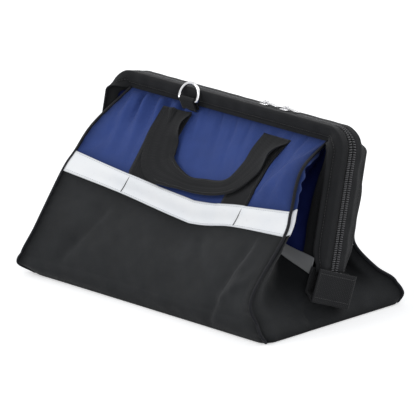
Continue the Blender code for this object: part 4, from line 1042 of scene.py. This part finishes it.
def make_loop(side):
    """A webbing loop: flat where it leaves the sleeve, folded double and sewn along its grip."""
    word, sides = WORDS[side], 40
    stations = handle_stations(side, 150)
    centres, widths = (np.array([station[k] for station in stations]) for k in (0, 2))
    aheads = unit(np.gradient(centres, axis=0))
    turns = np.arange(sides) * 2 * pi / sides
    c, s = np.cos(turns), np.sin(turns)
    grid, across = [], -ALONG
    for k, (centre, out, width, thick, folded, drop) in enumerate(stations):
        square = ALONG if k in (0, len(stations) - 1) else unit(np.cross(out, aheads[k]))
        across = square * (-1 if square @ across < 0 else 1)
        power = 0.22 + 0.48 * folded
        flat = np.sign(c) * np.abs(c) ** power * width / 2
        high = np.sign(s) * np.abs(s) ** power * thick / 2
        edge = flat / (width / 2)
        curl = (1.0 if side < 0 else 0.3) * (1 - folded) * sin(pi * min(drop / 0.62, 1)) ** 2.2
        right = np.sign(across @ ALONG)
        lifted = np.clip((edge * right - 0.25) / 0.75, 0, 1) ** 2
        bent = 0.0068 * curl * lifted + 0.0010 * curl * edge**2
        flat = flat - right * 0.0026 * curl * lifted
        crease = -0.0011 * folded * np.exp(-((edge / 0.12) ** 2)) * (s > 0)
        grid.append(centre + across * flat[:, None] + out * (high + bent + crease)[:, None])
    grid = np.array(grid)
    loop = wrapped(
        f"{word}_webbing_loop", grid, lengths_along(centres), c * 0.5 * widths[:, None], BLACK_WEBBING,
        grid - centres[:, None], np.abs(c) ** 8, capped=True,
    )
    settle(loop, f"{word}_handle", "black_webbing", f"{word}_handle")
    lines = []
    for hand in (-1, 1):
        spots, outs = [], []
        for ring, (centre, out, _, thick, _, _) in zip(grid[48:103], stations[48:103]):
            target = centre + hand * (ring[0] - ring[sides // 2]) * 0.40 + out * thick / 2
            spots.append(ring[np.argmin(np.linalg.norm(ring - target, axis=1))])
            outs.append(out)
        lines.append((spots, outs))
    stitches(f"{word}_grip_stitches", f"{word}_handle", lines)


def make_legs(side):
    """The webbing sewn up the panel from the band to each fold, with its box of stitches."""
    word, lines = WORDS[side], []
    for end, place in PLACES.items():
        grid, normals = [], []
        for v in np.linspace(3.90, 5.75, 44):
            share = min((v - 3.15) / 2.65, 1)
            centre = HANDLE_CENTRE + end * (LEG_FOOT_SPREAD + (HANDLE_SPREAD - LEG_FOOT_SPREAD) * share)
            lift = 0.0022 * eased(min(max((v - 3.96) / 0.12, 0), 1)) - 0.0002
            xs = np.linspace(centre - WEBBING_WIDTH / 2, centre + WEBBING_WIDTH / 2, 13)
            row, outs = zip(*(leg_place(side, x, v, lift) for x in xs))
            grid.append(row)
            normals.append(outs)
        grid, normals = np.array(grid), np.array(normals)
        leg = sheet(f"{word}_{place}_webbing_leg", grid, normals, WEBBING, BLACK_WEBBING, 0.0015)
        settle(leg, side, "black_webbing", f"{word}_handle_{place}_leg")
        lines += [(grid[2:-3, column], normals[2:-3, column]) for column in (1, -2)]
        lines.append((grid[3, 1:-1], normals[3, 1:-1]))
    stitches(f"{word}_leg_stitches", side, lines)


def make_ring_tab(side, x):
    """A strip of webbing from the sleeve round the ring's bar and back."""
    word, reach = WORDS[side], BAR_REACH - RING_DROP
    axis = jaw_point(x, reach, side * RING_OFFSET)
    foot = jaw_point(x, reach - 0.0095, side * (RING_OFFSET - 0.0058))
    down, radius = foot - axis, RING_WIRE + 0.0005 + 0.0012
    out = np.cross(unit(down), ALONG)
    out *= np.sign(out @ (BACK * side))
    line = [axis + down * t - out * radius for t in np.linspace(1.25, 0.1, 10)]
    line += [axis - unit(down) * radius * sin(a) - out * radius * cos(a) for a in np.linspace(0, pi, 16)]
    line += [axis + down * t + out * radius * (1 - 0.35 * t) for t in np.linspace(0.1, 1.25, 10)]
    line = np.array(line)
    normals = unit(np.cross(ALONG, np.gradient(line, axis=0)))
    if ((line - axis - down * 0.4) * normals).sum() < 0:
        normals = -normals
    widths = np.linspace(-0.012, 0.012, 13)
    grid = line[:, None] + ALONG * widths[:, None]
    outs = np.repeat(normals[:, None], len(widths), axis=1)
    tab = sheet(f"{word}_ring_webbing", grid, outs, 0.0012, BLACK_WEBBING, 0.0012)
    settle(tab, f"{word}_jaw", "black_webbing", f"{word}_ring_tab")
    lines = [(grid[31:, k], outs[31:, k]) for k in (1, -2)] + [(grid[33], outs[33])]
    stitches(f"{word}_ring_stitches", f"{word}_jaw", lines)


def make_end_cover(end, place):
    """Webbing folded up over the hinge rivet: open at the top and at both sides."""
    lean = JAW_LEAN + radians(9)
    up, back = np.array((0.0, sin(lean), cos(lean))), np.array((0.0, cos(lean), -sin(lean)))
    far, widest, narrowest = BAR_HALF_SPAN + 0.0085, 0.0146, 0.0026
    bend = narrowest / 2
    top, foot = 0.0232, bend - 0.018
    line = [(far, r) for r in np.linspace(top, foot, 16)]
    line += [(far - bend + bend * cos(a), foot - bend * sin(a)) for a in np.linspace(0, pi, 10)[1:-1]]
    for r in np.linspace(foot, top, 25):
        line.append((far - narrowest - (widest - narrowest) * eased(min((r - foot) / 0.010, 1)), r))
    depths = np.linspace(-0.034, 0.034, 45)
    grid = np.array([HINGE + ALONG * end * x + up * r + np.outer(depths, back) for x, r in line])
    normals = grid_normals(grid)
    if (normals[:12] @ ALONG).sum() * end < 0:
        normals = -normals
    puff = 0.0005 * unevenness(grid, 0.025, 61) * np.cos(pi * depths / 0.070)
    grid = grid + normals * puff[..., None]
    cover = sheet(f"{place}_end_webbing", grid, normals, 0.0010, BLACK_WEBBING, 0.0015)
    settle(cover, "bag", "black_webbing", f"{place}_end_cover")
    lines = [(grid[1:14, k], normals[1:14, k]) for k in (2, -3)]
    lines += [(grid[k, 2:-2], normals[k, 2:-2]) for k in (2, 13)]
    stitches(f"{place}_end_stitches", "bag", lines)


def make_bottom():
    places = np.meshgrid(np.linspace(-0.1969, 0.1969, 96), np.linspace(-0.1119, 0.1119, 60))
    grid = round_corners(np.stack((*places, np.zeros((60, 96))), axis=2))
    grid[..., 2] = 0.0
    cloth = sheet("bottom_cloth", grid, np.full_like(grid, (0, 0, -1)), 0.0025, BLACK_CLOTH)
    settle(cloth, "bag", "black_cloth", "bottom_panel")


# ---- Metal pieces ----


def bent_wire(name, start, ahead, radius, steps, look):
    """A round wire: a circle drawn out in straight runs and spun round bends."""
    turn = Vector(ahead).to_track_quat("Z", "Y").to_euler()
    bpy.ops.mesh.primitive_circle_add(vertices=18, radius=radius, location=tuple(start), rotation=turn)
    thing = bpy.context.active_object
    thing.name = thing.data.name = name
    bpy.ops.object.mode_set(mode="EDIT")
    bpy.ops.mesh.select_all(action="SELECT")
    for kind, *given in steps:
        if kind == "run":
            bpy.ops.mesh.extrude_region_move(TRANSFORM_OT_translate={"value": tuple(given[0])})
        else:
            centre, axis, angle, count = given
            bpy.ops.mesh.spin(steps=count, angle=-angle, center=tuple(centre), axis=tuple(axis))
    bpy.ops.mesh.select_all(action="SELECT")
    bpy.ops.mesh.remove_doubles(threshold=0.00005)
    bpy.ops.mesh.normals_make_consistent(inside=False)
    bpy.ops.object.mode_set(mode="OBJECT")
    bpy.ops.object.transform_apply(location=True, rotation=True, scale=True)
    thing.data.shade_smooth()
    thing.data.materials.append(look)
    return thing


def ring_bow(side, axis):
    """The way that a ring's bow points: as in the solid model, from its bar to the middle of its bow."""
    if side < 0:
        return UP * cos(radians(8)) + BACK * sin(radians(8))
    low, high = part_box(f"{WORDS[side]}_d_ring")
    return unit(np.array((0.0, high[1] - RING_WIRE - axis[1], low[2] + RING_WIRE - axis[2])))


def make_ring(side, x):
    """A D-ring bent from wire, its ends meeting in the middle of its bar."""
    word = WORDS[side]
    axis = jaw_point(x, BAR_REACH - RING_DROP, side * RING_OFFSET)
    bow = ring_bow(side, axis)
    half, height, corner = 0.0155, 0.0210, 0.0028
    flat, rise, normal = ALONG * (half - corner), bow * (height - half - corner), np.cross(ALONG, bow)
    steps = (
        ("run", flat), ("turn", axis + flat + bow * corner, normal, pi / 2, 6),
        ("run", rise), ("turn", axis + bow * (height - half), normal, pi, 28),
        ("run", -rise), ("turn", axis - flat + bow * corner, normal, pi / 2, 6),
        ("run", flat),
    )
    ring = bent_wire(f"{word}_bent_ring", axis, ALONG, RING_WIRE, steps, CHROME)
    settle(ring, f"{word}_ring", "chrome", f"{word}_d_ring")


JAW_FRAME = Matrix((
    (1, 0, 0, 0),
    (0, cos(JAW_LEAN), sin(JAW_LEAN), HINGE[1]),
    (0, -sin(JAW_LEAN), cos(JAW_LEAN), HINGE[2]),
    (0, 0, 0, 1),
))


def just_added():
    """The shape that was just made, with its place, turn and scale worked into its mesh."""
    bpy.ops.object.transform_apply(location=True, rotation=True, scale=True)
    return bpy.context.active_object


def soften(thing, width, segments):
    finish_with(thing, "BEVEL", width=width, segments=segments, limit_method="ANGLE", angle_limit=radians(40))
    return thing


def slab(low, high, edge, taper=1):
    """A block between two corners with rounded edges, narrowed at its right end if asked."""
    low, high = Vector(low), Vector(high)
    bpy.ops.mesh.primitive_cube_add(size=1, location=(low + high) / 2, scale=high - low)
    thing = just_added()
    bpy.ops.object.mode_set(mode="EDIT")
    bpy.ops.mesh.select_all(action="SELECT")
    bpy.ops.mesh.subdivide(number_cuts=2)
    bpy.ops.object.mode_set(mode="OBJECT")
    for v in thing.data.vertices:
        v.co.y *= 1 + (taper - 1) * (v.co.x - low.x) / (high.x - low.x)
    return soften(thing, edge, 3)


def joined(name, things, look, place):
    """Several shapes made one, put where they belong."""
    bpy.ops.object.select_all(action="DESELECT")
    for thing in things:
        thing.select_set(True)
    whole = bpy.context.view_layer.objects.active = things[0]
    bpy.ops.object.join()
    whole.name = whole.data.name = name
    whole.data.transform(place)
    whole.data.materials.clear()
    whole.data.materials.append(look)
    bpy.ops.object.shade_smooth_by_angle(angle=radians(40))
    return whole


def rod(start, ahead, radius, length):
    """A round pin with softened ends."""
    turn = Vector(ahead).to_track_quat("Z", "Y").to_euler()
    at = Vector(start) + Vector(ahead) * length / 2
    bpy.ops.mesh.primitive_cylinder_add(vertices=20, radius=radius, depth=length, location=at, rotation=turn)
    return soften(just_added(), radius * 0.3, 2)


def make_slider(x, place):
    """A zip slider: two tapered plates, the post between the coils, lips, lugs and a pin."""
    r, half, wide, plate = BAR_REACH, 0.0065, ZIP_HALF_WIDTH - 0.0010, 0.0012
    top = r + COIL_TOP + 0.0004 + plate
    under, pin_r = top - plate / 2, top + 0.0004 + 0.0020
    parts = [
        slab((x - half, -wide, top - plate), (x + half, wide, top), 0.0005, 0.80),
        slab((x - half, -wide, r - 0.0016), (x + half, wide, r - 0.0004), 0.0004, 0.80),
        slab((x - 0.002, -0.00035, r - 0.001), (x + 0.002, 0.00035, under), 0.0001),
        slab((x - half, -wide, r + 0.0011), (x + half * 0.6, -wide + 0.0008, under), 0.0002),
        slab((x - half, wide - 0.0008, r + 0.0011), (x + half * 0.6, wide, under), 0.0002),
        slab((x - 0.0020, -0.0032, under), (x + 0.0020, -0.0022, pin_r + 0.0012), 0.0004),
        slab((x - 0.0020, 0.0022, under), (x + 0.0020, 0.0032, pin_r + 0.0012), 0.0004),
        rod((x, -0.0030, pin_r), (0, 1, 0), 0.0007, 0.0060),
    ]
    slider = joined(f"{place}_zip_slider", parts, CHROME, JAW_FRAME)
    settle(slider, f"{place}_slider", "chrome", f"{place}_slider")
    make_pull(x, pin_r, place)


def make_pull(x, r, place):
    """A pull: an eye round the slider's pin, a neck and a tapered blade with a sunk middle."""
    bpy.ops.mesh.primitive_torus_add(
        major_segments=28, minor_segments=12, major_radius=0.0016, minor_radius=0.0004,
        rotation=(pi / 2, 0, 0),
    )
    eye = just_added()
    eye.data.transform(Matrix.Diagonal((1.0, 4.0, 1.0, 1.0)))
    neck = slab((0.0014, -0.0017, -0.0007), (0.0070, 0.0017, 0.0007), 0.0003)
    start, tip = 0.0066, 0.0220
    blade = slab((start, -0.0034, -0.0008), (tip, 0.0034, 0.0008), 0.0003)
    for v in blade.data.vertices:
        share = (v.co.x - start) / (tip - start)
        v.co.y *= 0.72 + 0.28 * sin(min(share * 1.2, 1.0) * pi / 2)
        v.co.y *= 1 - 0.35 * max(share - 0.86, 0) / 0.14
    bpy.ops.object.mode_set(mode="EDIT")
    for hand in (-1, 1):
        shell = bmesh.from_edit_mesh(blade.data)
        broad = sorted((f for f in shell.faces if f.normal.z * hand > 0.95), key=lambda f: -f.calc_area())[:9]
        for f in shell.faces:
            f.select_set(f in broad)
        bmesh.update_edit_mesh(blade.data)
        bpy.ops.mesh.inset(thickness=0.0006, depth=-0.0002)
    bpy.ops.object.mode_set(mode="OBJECT")
    swing = Matrix.Translation((x, 0, r)) @ Matrix.Rotation(radians(7), 4, "Y")
    pull = joined(f"{place}_zip_pull", [eye, neck, blade], CHROME, JAW_FRAME @ swing)
    settle(pull, f"{place}_pull", "chrome", f"{place}_pull")


# ---- The picture ----


def put_up(name, data, place, aim):
    """A camera or a lamp at a place, turned to its aim."""
    stand = bpy.data.objects.new(name, data)
    bpy.context.scene.collection.objects.link(stand)
    stand.location = place
    stand.rotation_euler = (Vector(aim) - Vector(place)).to_track_quat("-Z", "Y").to_euler()
    return stand


def set_camera():
    azimuth, elevation = radians(45), radians(17)
    away = Vector((sin(azimuth) * cos(elevation), -cos(azimuth) * cos(elevation), sin(elevation)))
    aim = Vector((cos(azimuth), sin(azimuth), 0)) * -0.0096 + Vector((0, 0, 0.1023))
    lens = bpy.data.cameras.new("camera")
    lens.lens, lens.sensor_width, lens.clip_end = 568, 36, 50
    bpy.context.scene.camera = put_up("camera", lens, aim + away * 8, aim)


def set_lamp(name, place, aim, size, power):
    lamp = bpy.data.lights.new(name, "AREA")
    lamp.shape, lamp.size, lamp.energy = "SQUARE", size, power
    put_up(name, lamp, place, aim)


def set_studio():
    """A white studio: soft light all round, three lamps and a pale floor."""
    scene = bpy.context.scene
    scene.view_settings.view_transform = "Standard"
    scene.world = bpy.data.worlds.new("studio")
    scene.world.use_nodes = True
    tree = scene.world.node_tree
    tree.nodes.clear()
    rays = node(tree, "ShaderNodeLightPath").outputs
    through = sums(tree, "MAXIMUM", rays["Is Glossy Ray"], rays["Is Transmission Ray"])
    seen = sums(tree, "MAXIMUM", rays["Is Camera Ray"], through)
    soft = node(tree, "ShaderNodeBackground", {"Color": (0.95, 0.97, 1.0, 1.0), "Strength": 0.55}).outputs[0]
    white = node(tree, "ShaderNodeBackground", {"Color": (1.0, 1.0, 1.0, 1.0), "Strength": 1.0}).outputs[0]
    both = node(tree, "ShaderNodeMixShader", {0: seen, 1: soft, 2: white}).outputs[0]
    node(tree, "ShaderNodeOutputWorld", {"Surface": both})
    set_lamp("key", (-0.9, -1.9, 1.9), (0, 0, 0.1), 1.3, 22)
    set_lamp("fill", (2.0, -1.0, 1.2), (0, 0, 0.1), 1.6, 7)
    set_lamp("rim", (0.6, 1.8, 1.7), (0, 0, 0.15), 1.2, 9)
    bpy.ops.mesh.primitive_plane_add(size=12)
    floor = bpy.context.active_object
    floor.name = "floor"
    look, tree, shader, _ = new_look("pale_floor", 0.9, 0.1)
    shader.inputs["Base Color"].default_value = (0.93, 0.93, 0.93, 1.0)
    glow = node(tree, "ShaderNodeEmission", {"Color": (1.0, 1.0, 1.0, 1.0), "Strength": 0.45}).outputs[0]
    lit = node(tree, "ShaderNodeAddShader", {0: shader.outputs[0], 1: glow}).outputs[0]
    shown = node(tree, "ShaderNodeLightPath").outputs["Is Camera Ray"]
    mixed = node(tree, "ShaderNodeMixShader", {0: shown, 1: shader.outputs[0], 2: lit}).outputs[0]
    tree.links.new(mixed, tree.nodes["Material Output"].inputs["Surface"])
    floor.data.materials.append(look)


def main():
    set_camera()
    set_studio()
    make_panels()
    make_ends()
    make_bottom()
    tooth = tooth_shape()
    for side in (-1, 1):
        make_sleeve(side)
        make_zip(side, tooth)
        make_legs(side)
        make_loop(side)
    for side, x in ((-1, -0.060), (1, 0.140)):
        make_ring_tab(side, x)
        make_ring(side, x)
    for end, place in PLACES.items():
        make_end_cover(end, place)
    make_slider(0.047, "left")
    make_slider(0.081, "right")
    for name, look in (("frame", STEEL), ("hinge_rivet", STEEL), ("base_board", BOARD)):
        for node_name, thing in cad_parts.items():
            if node_name.endswith(name):
                for slot in thing.material_slots:
                    slot.material = look


main()
